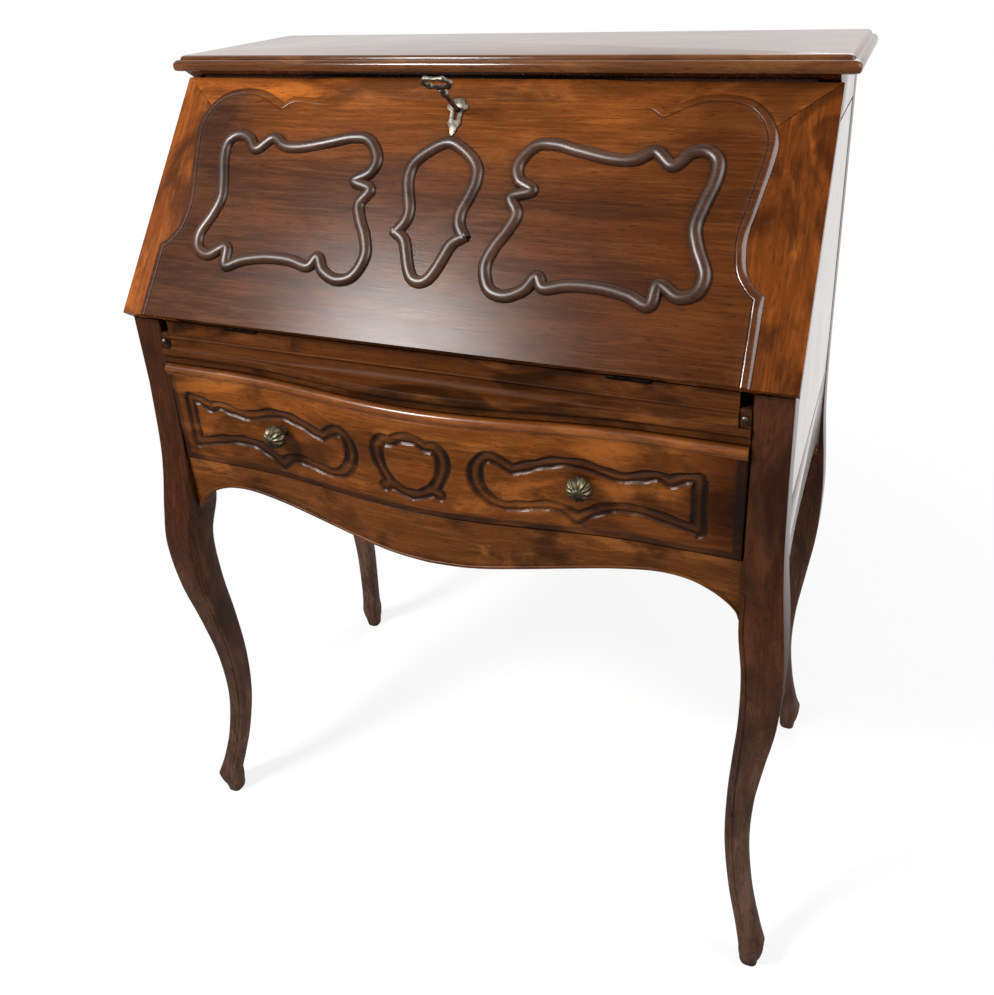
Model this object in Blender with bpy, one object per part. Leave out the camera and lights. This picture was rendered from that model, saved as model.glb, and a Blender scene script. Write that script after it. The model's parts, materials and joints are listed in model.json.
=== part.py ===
"""Slant-front writing desk: carcass, fall front with lock and hinges, lopers, long drawer, small drawers.

Metres, +Z up. The front faces -Y. The origin is on the floor, under the middle of the overall box.
"""
import math

import bmesh
import bpy
from mathutils import Vector

# Overall sizes of the carcass
CASE_W = 0.740
CASE_D = 0.389
POST = 0.036
GAP = 0.0003
RUN = 0.001

# Top board and its moulded edge, as steps of (inset, share of the thickness)
TOP_T = 0.017
TOP_OVERHANG = 0.018
TOP_LIP = 0.01335
TOP_EDGE = ((0.004, 0.0), (0.0, 0.20), (0.0, 0.52), (0.003, 0.70), (0.007, 0.74), (0.009, 0.94),
            (0.012, 1.0))

# Fall front: slope from the vertical, height from the writing surface to the top board, lap over the
# sides, thickness of frame and raised field
SLOPE = math.radians(38.0)
LID_RISE = 0.2485
LID_LAP = 0.0035
FRAME_T = 0.012
FIELD_T = 0.0037
LID_STILE_W = 0.073
LID_RAIL_W = 0.060
LID_CLEAR = 0.0008
HINGE_CLEAR = 0.0005

# Bow of the drawer front, the ledge and the apron
BOW = 0.023
BOW_HALF_W = 0.250
BOW_STEPS = 32

# Upper front rail with its ledge, and the band between the ledge and the writing surface
RAIL_T = 0.022
LEDGE_RISE = 0.018
BAND_H = 0.0345
LEDGE_OUT = 0.004
LEDGE_T = 0.009
LEDGE_UNDERCUT = 0.004
COVE_H = 0.017

# Cove above the ledge, as shares of the bow and of the cove's height
COVE = ((0.25, 0.50), (0.60, 0.15))

# Lopers and the kickers that carry them
LOPER_W = 0.011
LOPER_H = 0.0175
LOPER_BACK_CLEAR = 0.075
KICKER_W = 0.028

# Long drawer
DRAWER_BOTTOM_Z = 0.556
DRAWER_H = 0.1245
DRAWER_TOP_RUN = 0.0015
DRAWER_PROUD = 0.006
DRAWER_FRONT_T = 0.016
DRAWER_EDGE = 0.005
DRAWER_SIDE_T = 0.010
DRAWER_SIDE_H = 0.105
DRAWER_BACK_CLEAR = 0.035
DRAWER_SIDE_RISE = 0.004
DRAWER_FLOOR_T = 0.005
DRAWER_FLOOR_RISE = 0.008
RUNNER_H = 0.015
RUNNER_W = 0.030

# Turned knobs of the long drawer: half spacing, height above the drawer's foot, reach, radius
KNOB_X = 0.175
KNOB_RISE = 0.065
KNOB_L = 0.030
KNOB_R = 0.0135

# Any knob, as shares of its radius and its length: flared foot, slim neck, mushroom head
KNOB_SHAPE = ((0.0, 0.0), (0.80, 0.0), (0.78, 0.06), (0.50, 0.16), (0.36, 0.34), (0.40, 0.48), (0.85, 0.58),
              (1.0, 0.70), (0.93, 0.82), (0.62, 0.94), (0.25, 1.0), (0.0, 1.0))

# Aprons: thickness and the lower edges as (share of the half span, drop below the apron's upper edge)
APRON_T = 0.020
APRON_EDGE = ((0.0, 0.0650), (0.15, 0.0625), (0.32, 0.0550), (0.48, 0.0470), (0.62, 0.0395), (0.75, 0.0340),
              (0.84, 0.0360), (0.91, 0.0445), (0.96, 0.0555), (0.99, 0.0660), (1.0, 0.0750))
SIDE_APRON_TOP_Z = 0.606
SIDE_APRON_EDGE = ((0.0, 0.068), (0.35, 0.069), (0.62, 0.075), (0.80, 0.088), (0.92, 0.102), (1.0, 0.122))

# Legs, from the post down to the toe: height, sweep sideways, sweep along the depth (forward on both
# pairs), thickness across, thickness along the depth
FRONT_LEG = ((0.650, 0.0, 0.0, 0.0360, 0.0360), (0.575, 0.0015, 0.0035, 0.0373, 0.0393),
             (0.530, 0.0042, 0.0078, 0.0400, 0.0434), (0.480, 0.0090, 0.0155, 0.0440, 0.0500),
             (0.430, 0.0123, 0.0212, 0.0415, 0.0425), (0.365, 0.0093, 0.0176, 0.0390, 0.0390),
             (0.300, -0.0005, 0.0090, 0.0342, 0.0342), (0.235, -0.0092, 0.0030, 0.0294, 0.0294),
             (0.170, -0.0120, 0.0040, 0.0262, 0.0262), (0.107, -0.0045, 0.0110, 0.0250, 0.0250),
             (0.060, 0.0075, 0.0195, 0.0256, 0.0256), (0.034, 0.0165, 0.0275, 0.0280, 0.0280))
BACK_LEG = ((0.650, 0.0, 0.0, 0.0360, 0.0360), (0.575, 0.0010, 0.0, 0.0367, 0.0360),
            (0.530, 0.0030, 0.0010, 0.0387, 0.0348), (0.480, 0.0075, 0.0030, 0.0423, 0.0325),
            (0.430, 0.0105, 0.0050, 0.0400, 0.0370), (0.365, 0.0085, 0.0095, 0.0380, 0.0355),
            (0.300, 0.0, 0.0165, 0.0335, 0.0315), (0.235, -0.0085, 0.0225, 0.0290, 0.0280),
            (0.170, -0.0115, 0.0225, 0.0260, 0.0255), (0.107, -0.0065, 0.0165, 0.0248, 0.0248),
            (0.060, 0.0010, 0.0085, 0.0252, 0.0252), (0.034, 0.0075, 0.0010, 0.0275, 0.0275))

# Pad under a toe: height, then how far it draws in from the toe and how much thinner it is
LEG_PAD = ((0.026, 0.001, 0.001), (0.012, 0.0045, 0.0055), (0.0, 0.006, 0.0085))
LEG_STEPS = 2
LEG_ARRIS = 0.003

# Sides, back and writing board
SIDE_T = 0.020
SIDE_TOP_RAIL_H = 0.048
PANEL_T = 0.008
PANEL_RECESS = 0.004
BACK_T = 0.008
BACK_RECESS = 0.006
BACK_BOTTOM_Z = 0.530
WRITING_T = 0.014

# Fittings inside: front line behind the lid's head, partitions, shelves, small drawers
FITTINGS_CLEAR = 0.02135
PARTITION_X = 0.120
PARTITION_T = 0.008
SHELF_T = 0.008
SMALL_H = 0.062
SMALL_FRONT_T = 0.009
SMALL_TRAY_H = 0.046
SMALL_WALL = 0.006
SMALL_SET_BACK = 0.003
SMALL_KNOB_L = 0.014
SMALL_KNOB_R = 0.007

# The carved field and the lock sit a little left of the middle of the lid
CARVING_X = -0.008

# Raised mouldings on the field: width, height and centre of the side ones
MOULD_W = 0.013
MOULD_H = 0.0065
MOULD_X = 0.178
MOULD_STEPS = 3
CORNER_CLEAR = 0.012
CUSP_CLEAR = 0.007
MITRE_LIMIT = 0.75

# Section of a moulding, as shares of its half width and of its height
MOULD_SECTION = ((1.0, 0.0), (0.82, 0.58), (0.0, 1.0), (-0.82, 0.58), (-1.0, 0.0))

# Strands of the right-hand moulding, as (x from its centre, distance up the slope), corner to corner
SIDE_STRANDS = (
    ((-0.0764, 0.1725), (-0.0925, 0.1830), (-0.0965, 0.2005), (-0.0815, 0.2205), (-0.0600, 0.2225),
     (-0.0341, 0.2165), (0.0000, 0.2095), (0.0230, 0.2098), (0.0410, 0.2190)),
    ((0.0600, 0.2050), (0.0740, 0.2180), (0.0890, 0.2215), (0.1015, 0.2120), (0.1020, 0.1925),
     (0.0942, 0.1642), (0.0905, 0.1440), (0.0960, 0.1240), (0.1065, 0.1000), (0.1025, 0.0825),
     (0.0865, 0.0765), (0.0662, 0.0870)),
    ((0.0608, 0.0660), (0.0400, 0.0737), (0.0100, 0.0790), (-0.0200, 0.0785), (-0.0440, 0.0735)),
    ((-0.0535, 0.0845), (-0.0640, 0.0700), (-0.0828, 0.0618), (-0.1010, 0.0680), (-0.1097, 0.0900),
     (-0.1040, 0.1110), (-0.0940, 0.1290), (-0.0880, 0.1470), (-0.0969, 0.1642)))

# Right half of the middle moulding, from its crown to its cusp and from the cusp to its foot
CENTRE_UPPER = ((0.0, 0.2208), (0.0215, 0.2105), (0.0360, 0.1953), (0.0387, 0.1790), (0.0350, 0.1625),
                (0.0295, 0.1453), (0.0305, 0.1315), (0.0385, 0.1190))
CENTRE_LOWER = ((0.0385, 0.1190), (0.0273, 0.1107), (0.0208, 0.0953), (0.0150, 0.0808), (0.0085, 0.0712),
                (0.0, 0.0680))

# Raised field: the frame left bare at its foot's ends and above its crown. Then its right edge, from the
# foot up to the cusp and from the cusp to the crown
FIELD_INSET = 0.0335
FIELD_DROP = 0.0248
FIELD_EDGE_X = 0.340
FIELD_JOG = ((0.340, 0.086), (0.3315, 0.0918))
FIELD_EDGE = ((0.3315, 0.0918), (0.3218, 0.1060), (0.3177, 0.1250), (0.3173, 0.1430), (0.3214, 0.1650),
              (0.3263, 0.1920), (0.3305, 0.2170), (0.3314, 0.2340), (0.3272, 0.2500), (0.3186, 0.2640),
              (0.3050, 0.2755), (0.2870, 0.2810), (0.2690, 0.2820), (0.2539, 0.2800), (0.2385, 0.2740),
              (0.2210, 0.2650))
FIELD_CROWN = ((0.2210, 0.2650), (0.2090, 0.2720), (0.1850, 0.2715), (0.1500, 0.2700))

# Lock, key and escutcheon: the key's axis below the lid's head, the case, the bolt and the keyhole
KEY_DROP = 0.0368
KEY_R = 0.0025
KEY_REACH = 0.066
KEY_BOW_W = 0.034
KEY_BOW_L = 0.022
KEY_BOW_R = 0.0022
KEY_COLLAR_R = 0.0042
KEY_BIT_L = 0.0085
KEY_BIT_T = 0.0022
LOCK_W = 0.044
LOCK_L = 0.053
LOCK_T = 0.0085
LOCK_WALL = 0.003
BOLT_W = 0.016
BOLT_T = 0.0040
BOLT_L = 0.031
BOLT_THROW = 0.007
KEYHOLE_R = 0.0036
KEYHOLE_SLOT_W = 0.0034
KEYHOLE_SLOT_L = 0.0115
PLATE_T = 0.0012
PLATE_HALF = ((0.0, 0.0135), (0.0060, 0.0128), (0.0075, 0.0085), (0.0125, 0.0050), (0.0118, 0.0010),
              (0.0070, -0.0020), (0.0068, -0.0110), (0.0078, -0.0160), (0.0045, -0.0205),
              (0.0030, -0.0265), (0.0, -0.0300))

# Hinges: middle from the lid's end, length, leaf width and thickness, knuckle and pin
HINGE_INSET = 0.1535
HINGE_L = 0.042
LEAF_W = 0.018
LEAF_T = 0.0016
KNUCKLE_R = 0.0026
PIN_R = 0.0012
PIN_RUN = 0.00015
PIN_HEAD_R = 0.0022
PIN_HEAD_L = 0.001

# Finishes: colour, roughness and metallic value of each
WALNUT = ((0.115, 0.045, 0.020), 0.28, 0.0)
WALNUT_WARM = ((0.215, 0.080, 0.026), 0.28, 0.0)
WALNUT_DARK = ((0.060, 0.030, 0.018), 0.30, 0.0)
INNER_WOOD = ((0.300, 0.160, 0.070), 0.50, 0.0)
BRASS = ((0.300, 0.235, 0.120), 0.38, 1.0)
STEEL = ((0.320, 0.310, 0.290), 0.40, 1.0)

# Round pieces are turned in this many steps
TURN_STEPS = 18


# Levels and lines that follow from the sizes above
def bow_at(x):
    """How far the bowed front stands out at x."""
    share = min(abs(x) / BOW_HALF_W, 1.0)
    return BOW * 0.5 * (1.0 + math.cos(math.pi * share))


def bow_lean(x):
    """The angle at which the bowed front turns away from straight ahead at x."""
    share = min(abs(x) / BOW_HALF_W, 1.0)
    fall = BOW * 0.5 * math.pi / BOW_HALF_W * math.sin(math.pi * share)
    return math.copysign(math.atan(fall), x)


def knob_profile(length, radius):
    """Radii and heights of a turned knob, from its seat outwards."""
    return [(across * radius, up * length) for across, up in KNOB_SHAPE]


def knob_reach():
    """How far a knob of the long drawer comes forward of its seat."""
    lean = abs(bow_lean(KNOB_X))
    return max(up * math.cos(lean) + across * math.sin(lean) for across, up in knob_profile(KNOB_L, KNOB_R))


HALF_W = CASE_W / 2
POST_IN = HALF_W - POST
FRONT_REACH = bow_at(KNOB_X) + DRAWER_PROUD + GAP + knob_reach()
BACK_Y = (CASE_D + FRONT_REACH) / 2
FRONT_Y = BACK_Y - CASE_D
DRAWER_TOP_Z = DRAWER_BOTTOM_Z + DRAWER_H
RAIL_BOTTOM_Z = DRAWER_TOP_Z + DRAWER_TOP_RUN
LEDGE_Z = RAIL_BOTTOM_Z + LEDGE_RISE
WRITING_Z = LEDGE_Z + BAND_H
TOP_UNDER_Z = WRITING_Z + LID_RISE
LID_W = CASE_W + 2 * LID_LAP
HINGE_X = LID_W / 2 - HINGE_INSET
LID_T = FRAME_T + GAP + FIELD_T
HINGE_Y = FRONT_Y - HINGE_CLEAR
LID_HEAD_Y = HINGE_Y + LID_RISE * math.tan(SLOPE)
TOP_FRONT_Y = LID_HEAD_Y - LID_T / math.cos(SLOPE) - TOP_LIP
LID_SWING_R = math.hypot(TOP_FRONT_Y - HINGE_Y, LID_RISE)
LID_L = math.sqrt(LID_SWING_R ** 2 - LID_T ** 2) - LID_CLEAR
LID_FOOT = HINGE_CLEAR
POST_TOP_Z = WRITING_Z - RUN
WRITING_UNDER_Z = WRITING_Z - WRITING_T
BACK_FACE_Y = BACK_Y - BACK_RECESS - BACK_T
PANEL_OUT_X = HALF_W - PANEL_RECESS
PANEL_IN_X = PANEL_OUT_X - PANEL_T
LOPER_TOP_Z = WRITING_Z - LID_T - HINGE_CLEAR
LOPER_BOTTOM_Z = LOPER_TOP_Z - LOPER_H
LOPER_OUT_X = POST_IN - RUN / 2
LOPER_IN_X = LOPER_OUT_X - LOPER_W
FITTINGS_Y = LID_HEAD_Y + FITTINGS_CLEAR
SHELF_UNDER_Z = WRITING_Z + SMALL_H
FIELD_N = FRAME_T + GAP
LOCK_FOOT = LID_L - GAP - LOCK_L
KEY_S = LID_L - KEY_DROP
CARVING_SPREAD = (LID_W / 2 - FIELD_INSET) / FIELD_EDGE_X
CARVING_RISE = (LID_L - FIELD_DROP) / FIELD_CROWN[-1][1]


def slope_y(z):
    """The lid's inner face at height z, when it is shut."""
    return HINGE_Y + (z - WRITING_Z) * math.tan(SLOPE)


def on_slope(s, n):
    """World y and z of a point s up the slope and n out from the lid's inner face."""
    y = HINGE_Y + s * math.sin(SLOPE) - n * math.cos(SLOPE)
    z = WRITING_Z + s * math.cos(SLOPE) + n * math.sin(SLOPE)
    return y, z


# Modelling tools
def smooth(points, steps):
    """Points on a curve through the given ones, each span cut into steps, both ends kept."""
    first = [2 * a - b for a, b in zip(points[0], points[1])]
    last = [2 * a - b for a, b in zip(points[-1], points[-2])]
    knots = [first, *points, last]
    curve = []
    for i in range(1, len(knots) - 2):
        for k in range(steps):
            t = k / steps
            curve.append(tuple(
                0.5 * (2 * b + (c - a) * t + (2 * a - 5 * b + 4 * c - d) * t ** 2
                       + (3 * b - a - 3 * c + d) * t ** 3)
                for a, b, c, d in zip(knots[i - 1], knots[i], knots[i + 1], knots[i + 2])))
    curve.append(tuple(points[-1]))
    return curve


def give_finish(obj, finish):
    """A Principled material of the piece's own."""
    colour, roughness, metallic = finish
    material = bpy.data.materials.new(obj.name + "_finish")
    material.use_nodes = True
    shader = material.node_tree.nodes["Principled BSDF"]
    shader.inputs["Base Color"].default_value = (*colour, 1.0)
    shader.inputs["Roughness"].default_value = roughness
    shader.inputs["Metallic"].default_value = metallic
    obj.data.materials.append(material)


def make_object(name, bm, finish, parent=None):
    """Turn a bmesh into a named object with its finish."""
    bmesh.ops.recalc_face_normals(bm, faces=bm.faces)
    mesh = bpy.data.meshes.new(name)
    bm.to_mesh(mesh)
    bm.free()
    obj = bpy.data.objects.new(name, mesh)
    bpy.context.collection.objects.link(obj)
    obj.parent = parent
    give_finish(obj, finish)
    return obj


def shade_round(obj):
    """Smooth shading with the sharp edges kept."""
    obj.data.shade_smooth()
    obj.data.set_sharp_from_angle(angle=math.radians(40))
    return obj


def block(name, low, high, finish, parent=None):
    """A straight board between two corners."""
    bm = bmesh.new()
    made = bmesh.ops.create_cube(bm, size=1.0)
    low = Vector(low)
    high = Vector(high)
    bmesh.ops.scale(bm, vec=high - low, verts=made["verts"])
    bmesh.ops.translate(bm, vec=(low + high) / 2, verts=made["verts"])
    return make_object(name, bm, finish, parent)


def prism(name, outline, thrust, finish, parent=None):
    """An outline of points in space, extruded along a vector."""
    bm = bmesh.new()
    face = bm.faces.new([bm.verts.new(p) for p in outline])
    made = bmesh.ops.extrude_face_region(bm, geom=[face])
    moved = [v for v in made["geom"] if isinstance(v, bmesh.types.BMVert)]
    bmesh.ops.translate(bm, vec=thrust, verts=moved)
    return make_object(name, bm, finish, parent)


def plate(name, outline, low, high, finish, parent=None):
    """A flat outline in x and y, thick from low to high."""
    return prism(name, [(x, y, low) for x, y in outline], (0, 0, high - low), finish, parent)


def side_board(name, outline, x_from, x_to, finish):
    """An outline in y and z, thick from x_from to x_to."""
    return prism(name, [(x_from, y, z) for y, z in outline], (x_to - x_from, 0, 0), finish)


def loft(name, rings, finish, parent=None, closed=False):
    """Rings of equal length bridged one to the next, with flat ends or closed on itself."""
    bm = bmesh.new()
    loops = []
    for ring in rings:
        verts = [bm.verts.new(p) for p in ring]
        loops.append([bm.edges.new((a, b)) for a, b in zip(verts, verts[1:] + verts[:1])])
    pairs = list(zip(loops, loops[1:]))
    if closed:
        pairs.append((loops[-1], loops[0]))
    for here, there in pairs:
        bmesh.ops.bridge_loops(bm, edges=here + there)
    if not closed:
        bmesh.ops.contextual_create(bm, geom=loops[0])
        bmesh.ops.contextual_create(bm, geom=loops[-1])
    return make_object(name, bm, finish, parent)


def turned(name, profile, finish, parent=None):
    """A profile of (radius, height) spun about local Z, with poles closed."""
    bm = bmesh.new()
    verts = [bm.verts.new((r, 0, h)) for r, h in profile]
    edges = [bm.edges.new(pair) for pair in zip(verts, verts[1:])]
    bmesh.ops.spin(bm, geom=verts + edges, cent=(0, 0, 0), axis=(0, 0, 1),
                   angle=math.tau, steps=TURN_STEPS, use_merge=True)
    bmesh.ops.remove_doubles(bm, verts=bm.verts, dist=1e-6)
    return shade_round(make_object(name, bm, finish, parent))


def combine(obj, other, operation):
    """Cut or join another solid into a piece and drop that solid."""
    modifier = obj.modifiers.new(operation, "BOOLEAN")
    modifier.operation = operation
    modifier.solver = "EXACT"
    modifier.object = other
    bpy.context.view_layer.update()
    seen = obj.evaluated_get(bpy.context.evaluated_depsgraph_get())
    mesh = bpy.data.meshes.new_from_object(seen)
    obj.modifiers.remove(modifier)
    obj.data = mesh
    bpy.data.objects.remove(other)
    mesh.materials.clear()
    return obj


def cut(obj, cutter, finish):
    combine(obj, cutter, "DIFFERENCE")
    give_finish(obj, finish)
    return obj


def join(obj, other, finish):
    combine(obj, other, "UNION")
    give_finish(obj, finish)
    return obj


def pivot(name, place, tilt=0.0, parent=None):
    """An empty that carries the pieces of one moving body."""
    empty = bpy.data.objects.new(name, None)
    bpy.context.collection.objects.link(empty)
    empty.location = place
    empty.rotation_euler = (tilt, 0, 0)
    empty.parent = parent
    return empty


SIDES = (("left", -1), ("right", 1))


# Legs, each with its corner post
def leg(name, side, back, top_z):
    stations = [(top_z, *row[1:]) for row in FRONT_LEG[:1]]
    stations += smooth(BACK_LEG if back else FRONT_LEG, LEG_STEPS)
    _, toe_out, toe_along, toe_x, toe_y = stations[-1]
    for z, drawn, thinner in LEG_PAD:
        along = toe_along + drawn if back else toe_along - drawn
        stations.append((z, toe_out - drawn, along, toe_x - thinner, toe_y - thinner))
    rings = []
    for z, out, along, thick_x, thick_y in stations:
        x_out = side * (HALF_W + out)
        x_in = x_out - side * (thick_x + POST - FRONT_LEG[0][3])
        deep = thick_y + POST - FRONT_LEG[0][4]
        y_out = BACK_Y - along if back else FRONT_Y - along
        y_in = y_out - deep if back else y_out + deep
        dx = math.copysign(LEG_ARRIS, x_in - x_out)
        dy = math.copysign(LEG_ARRIS, y_in - y_out)
        rings.append([(x_out + dx, y_out, z), (x_in - dx, y_out, z), (x_in, y_out + dy, z),
                      (x_in, y_in - dy, z), (x_in - dx, y_in, z), (x_out + dx, y_in, z),
                      (x_out, y_in - dy, z), (x_out, y_out + dy, z)])
    return loft(name, rings, WALNUT_DARK)


def make_legs():
    for word, side in SIDES:
        leg(f"front_{word}_leg", side, False, POST_TOP_Z)
        leg(f"back_{word}_leg", side, True, TOP_UNDER_Z - GAP)


# Side frames: sloping stile, top rail, panel and shaped apron
def make_sides():
    stile_foot = POST_TOP_Z + GAP
    stile_head = TOP_UNDER_Z - GAP
    lid_gap = GAP / math.cos(SLOPE)
    rail_z = stile_head - SIDE_TOP_RAIL_H
    back_post_y = BACK_Y - POST - GAP
    for word, side in SIDES:
        out_x = side * HALF_W
        in_x = side * (HALF_W - SIDE_T)
        stile = [(slope_y(stile_foot) + lid_gap, stile_foot), (slope_y(stile_foot) + POST, stile_foot),
                 (slope_y(stile_head) + POST, stile_head), (slope_y(stile_head) + lid_gap, stile_head)]
        side_board(f"{word}_slope_stile", stile, in_x, out_x, WALNUT_WARM)
        rail = [(slope_y(rail_z) + POST + lid_gap, rail_z), (back_post_y, rail_z),
                (back_post_y, stile_head), (slope_y(stile_head) + POST + lid_gap, stile_head)]
        side_board(f"{word}_top_rail", rail, in_x, out_x, WALNUT)
        front_post_y = FRONT_Y + POST + GAP
        panel_top = rail_z - GAP
        panel_foot = SIDE_APRON_TOP_Z + GAP
        panel = [(front_post_y, panel_foot), (back_post_y, panel_foot), (back_post_y, panel_top),
                 (slope_y(panel_top) + POST + lid_gap, panel_top),
                 (front_post_y, stile_foot - GAP)]
        side_board(f"{word}_side_panel", panel, side * PANEL_IN_X, side * PANEL_OUT_X, WALNUT)
        middle = (front_post_y + back_post_y) / 2
        half = (back_post_y - front_post_y) / 2
        lower = smooth(SIDE_APRON_EDGE, 2)
        edge = [(middle + half * share, SIDE_APRON_TOP_Z - drop) for share, drop in reversed(lower)]
        edge += [(middle - half * share, SIDE_APRON_TOP_Z - drop) for share, drop in lower[1:]]
        apron = [(front_post_y, SIDE_APRON_TOP_Z), (back_post_y, SIDE_APRON_TOP_Z)] + edge
        side_board(f"{word}_side_apron", apron, in_x, out_x, WALNUT)


# Top board, closing rail under it, back panel and writing board
def make_top_and_back():
    rings = []
    half = HALF_W + TOP_OVERHANG
    for inset, share in TOP_EDGE:
        z = TOP_UNDER_Z + share * TOP_T
        x = half - inset
        y = TOP_FRONT_Y + inset
        rings.append([(-x, y, z), (x, y, z), (x, BACK_Y, z), (-x, BACK_Y, z)])
    loft("top_board", rings, WALNUT)

    inner = HALF_W - SIDE_T - GAP
    under = LID_L + LID_CLEAR
    head = TOP_UNDER_Z - GAP
    low_y, low_z = on_slope(under, -LID_T)
    nose_y, nose_z = on_slope(under, FRAME_T)
    outline = [(low_y, low_z), (nose_y, nose_z), (nose_y, head), (low_y, head)]
    closing = prism("lid_stop_rail", [(-inner, y, z) for y, z in outline], (2 * inner, 0, 0), WALNUT)
    mortise = block("mortise", (-BOLT_W / 2 - RUN, LID_L, LOCK_WALL - RUN),
                    (BOLT_W / 2 + RUN, LID_L + BOLT_THROW + 2 * RUN, LOCK_WALL + BOLT_T + RUN), WALNUT)
    mortise.location = (CARVING_X, HINGE_Y, WRITING_Z)
    mortise.rotation_euler = (math.pi / 2 - SLOPE, 0, 0)
    cut(closing, mortise, WALNUT)

    wide = POST_IN - GAP
    block("back_panel", (-wide, BACK_FACE_Y, BACK_BOTTOM_Z),
          (wide, BACK_FACE_Y + BACK_T, TOP_UNDER_Z - GAP), INNER_WOOD)

    broad = PANEL_IN_X - GAP
    front = FRONT_Y + RAIL_T + GAP
    shoulder = FRONT_Y + POST + GAP
    heel = BACK_Y - POST - GAP
    back = BACK_FACE_Y - GAP
    outline = [(-wide, front), (wide, front), (wide, shoulder), (broad, shoulder), (broad, heel),
               (wide, heel), (wide, back), (-wide, back), (-wide, heel), (-broad, heel),
               (-broad, shoulder), (-wide, shoulder)]
    plate("writing_board", outline, WRITING_UNDER_Z, WRITING_Z, INNER_WOOD)


# Bowed front: upper rail with its ledge and loper slots, apron, runners, kickers and lopers
def bow_stations(half):
    return [half * math.sin(math.pi / 2 * (2 * i / BOW_STEPS - 1)) for i in range(BOW_STEPS + 1)]


def make_upper_rail():
    wide = POST_IN - GAP
    rings = []
    for x in bow_stations(wide):
        swell = bow_at(x)
        lip_y = FRONT_Y - LEDGE_OUT - swell
        profile = [(FRONT_Y + RAIL_T, RAIL_BOTTOM_Z), (FRONT_Y + RAIL_T, WRITING_Z), (FRONT_Y, WRITING_Z),
                   (FRONT_Y, LEDGE_Z + COVE_H)]
        profile += [(FRONT_Y - out * swell, LEDGE_Z + rise * COVE_H) for out, rise in COVE]
        profile += [(lip_y, LEDGE_Z), (lip_y, LEDGE_Z - LEDGE_T),
                    (FRONT_Y - swell, LEDGE_Z - LEDGE_T - LEDGE_UNDERCUT), (FRONT_Y - swell, RAIL_BOTTOM_Z)]
        rings.append([(x, y, z) for y, z in profile])
    rail = loft("upper_front_rail", rings, WALNUT)
    deep = LEDGE_OUT + BOW
    for word, side in SIDES:
        ends = sorted((side * (LOPER_IN_X - RUN / 2), side * (POST_IN + RUN)))
        slot = block("slot", (ends[0], FRONT_Y - deep, LOPER_BOTTOM_Z - GAP),
                     (ends[1], FRONT_Y + RAIL_T + deep, WRITING_Z + RUN), WALNUT)
        cut(rail, slot, WALNUT)
        reach = HINGE_L / 2 + GAP
        seat = block("seat", (side * HINGE_X - reach, HINGE_Y - deep, WRITING_Z - LEAF_T - GAP),
                     (side * HINGE_X + reach, HINGE_Y + LEAF_W + 2 * GAP, WRITING_Z + RUN), WALNUT)
        cut(rail, seat, WALNUT)
        reach = HINGE_L / 2 + PIN_HEAD_L + 2 * GAP
        bed = block("bed", (side * HINGE_X - reach, HINGE_Y - deep, WRITING_Z - KNUCKLE_R - GAP),
                    (side * HINGE_X + reach, HINGE_Y + KNUCKLE_R + GAP, WRITING_Z + RUN), WALNUT)
        cut(rail, bed, WALNUT)


def make_front_apron():
    wide = POST_IN - GAP
    top = DRAWER_BOTTOM_Z - RUN
    lower = smooth(APRON_EDGE, 2)
    edge = [(-wide * share, top - drop) for share, drop in reversed(lower)]
    edge += [(wide * share, top - drop) for share, drop in lower[1:]]
    rings = []
    for x, z in edge:
        front = FRONT_Y - bow_at(x)
        back = FRONT_Y + APRON_T
        rings.append([(x, front, z), (x, front, top), (x, back, top), (x, back, z)])
    loft("front_apron", rings, WALNUT_WARM)


def make_runners_and_lopers():
    runner_top = DRAWER_BOTTOM_Z + DRAWER_SIDE_RISE - GAP
    back = BACK_FACE_Y - GAP
    for word, side in SIDES:
        outer = side * (POST_IN - GAP)
        ends = sorted((outer, outer - side * RUNNER_W))
        block(f"{word}_drawer_runner", (ends[0], FRONT_Y + APRON_T + GAP, runner_top - RUNNER_H),
              (ends[1], back, runner_top), INNER_WOOD)
        ends = sorted((outer, outer - side * KICKER_W))
        block(f"{word}_kicker", (ends[0], FRONT_Y + RAIL_T + GAP, RAIL_BOTTOM_Z),
              (ends[1], back, LOPER_BOTTOM_Z - GAP), INNER_WOOD)
        ends = sorted((side * LOPER_OUT_X, side * LOPER_IN_X))
        block(f"{word}_loper", (ends[0], FRONT_Y, LOPER_BOTTOM_Z),
              (ends[1], BACK_FACE_Y - LOPER_BACK_CLEAR, LOPER_TOP_Z), WALNUT)


# Fall front
def mirrored(half):
    """A half outline in x and s carried on to the other side of the middle."""
    return [(-x, up) for x, up in reversed(half)]


def fitted(points):
    """Points of a carved outline, spread and raised with the lid."""
    return [(x * CARVING_SPREAD, up * CARVING_RISE) for x, up in points]


def strand_path(strands, clear):
    """Smooth strands joined at sharp corners, with room left at each corner."""
    path = []
    for strand in strands:
        curve = smooth(strand, MOULD_STEPS)
        start = Vector(curve[0])
        end = Vector(curve[-1])
        for point in curve:
            here = Vector(point)
            near = min((here - start).length, (here - end).length)
            if (near == 0.0 or near > clear) and here not in path:
                path.append(here)
    return path


def moulding(name, path, parent):
    """A half-round moulding that follows a closed path on the field, mitred at its corners."""
    section = [(across * MOULD_W / 2, rise * MOULD_H) for across, rise in MOULD_SECTION]
    base = LID_T + GAP
    rings = []
    count = len(path)
    for i, here in enumerate(path):
        before = (here - path[i - 1]).normalized()
        after = (path[(i + 1) % count] - here).normalized()
        along = (before + after).normalized()
        across = Vector((along.y, -along.x))
        stretch = 1.0 / max(along.dot(after), MITRE_LIMIT)
        rings.append([(*(here + across * (offset * stretch)), base + rise) for offset, rise in section])
    return shade_round(loft(name, rings, WALNUT_DARK, parent, closed=True))


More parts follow.
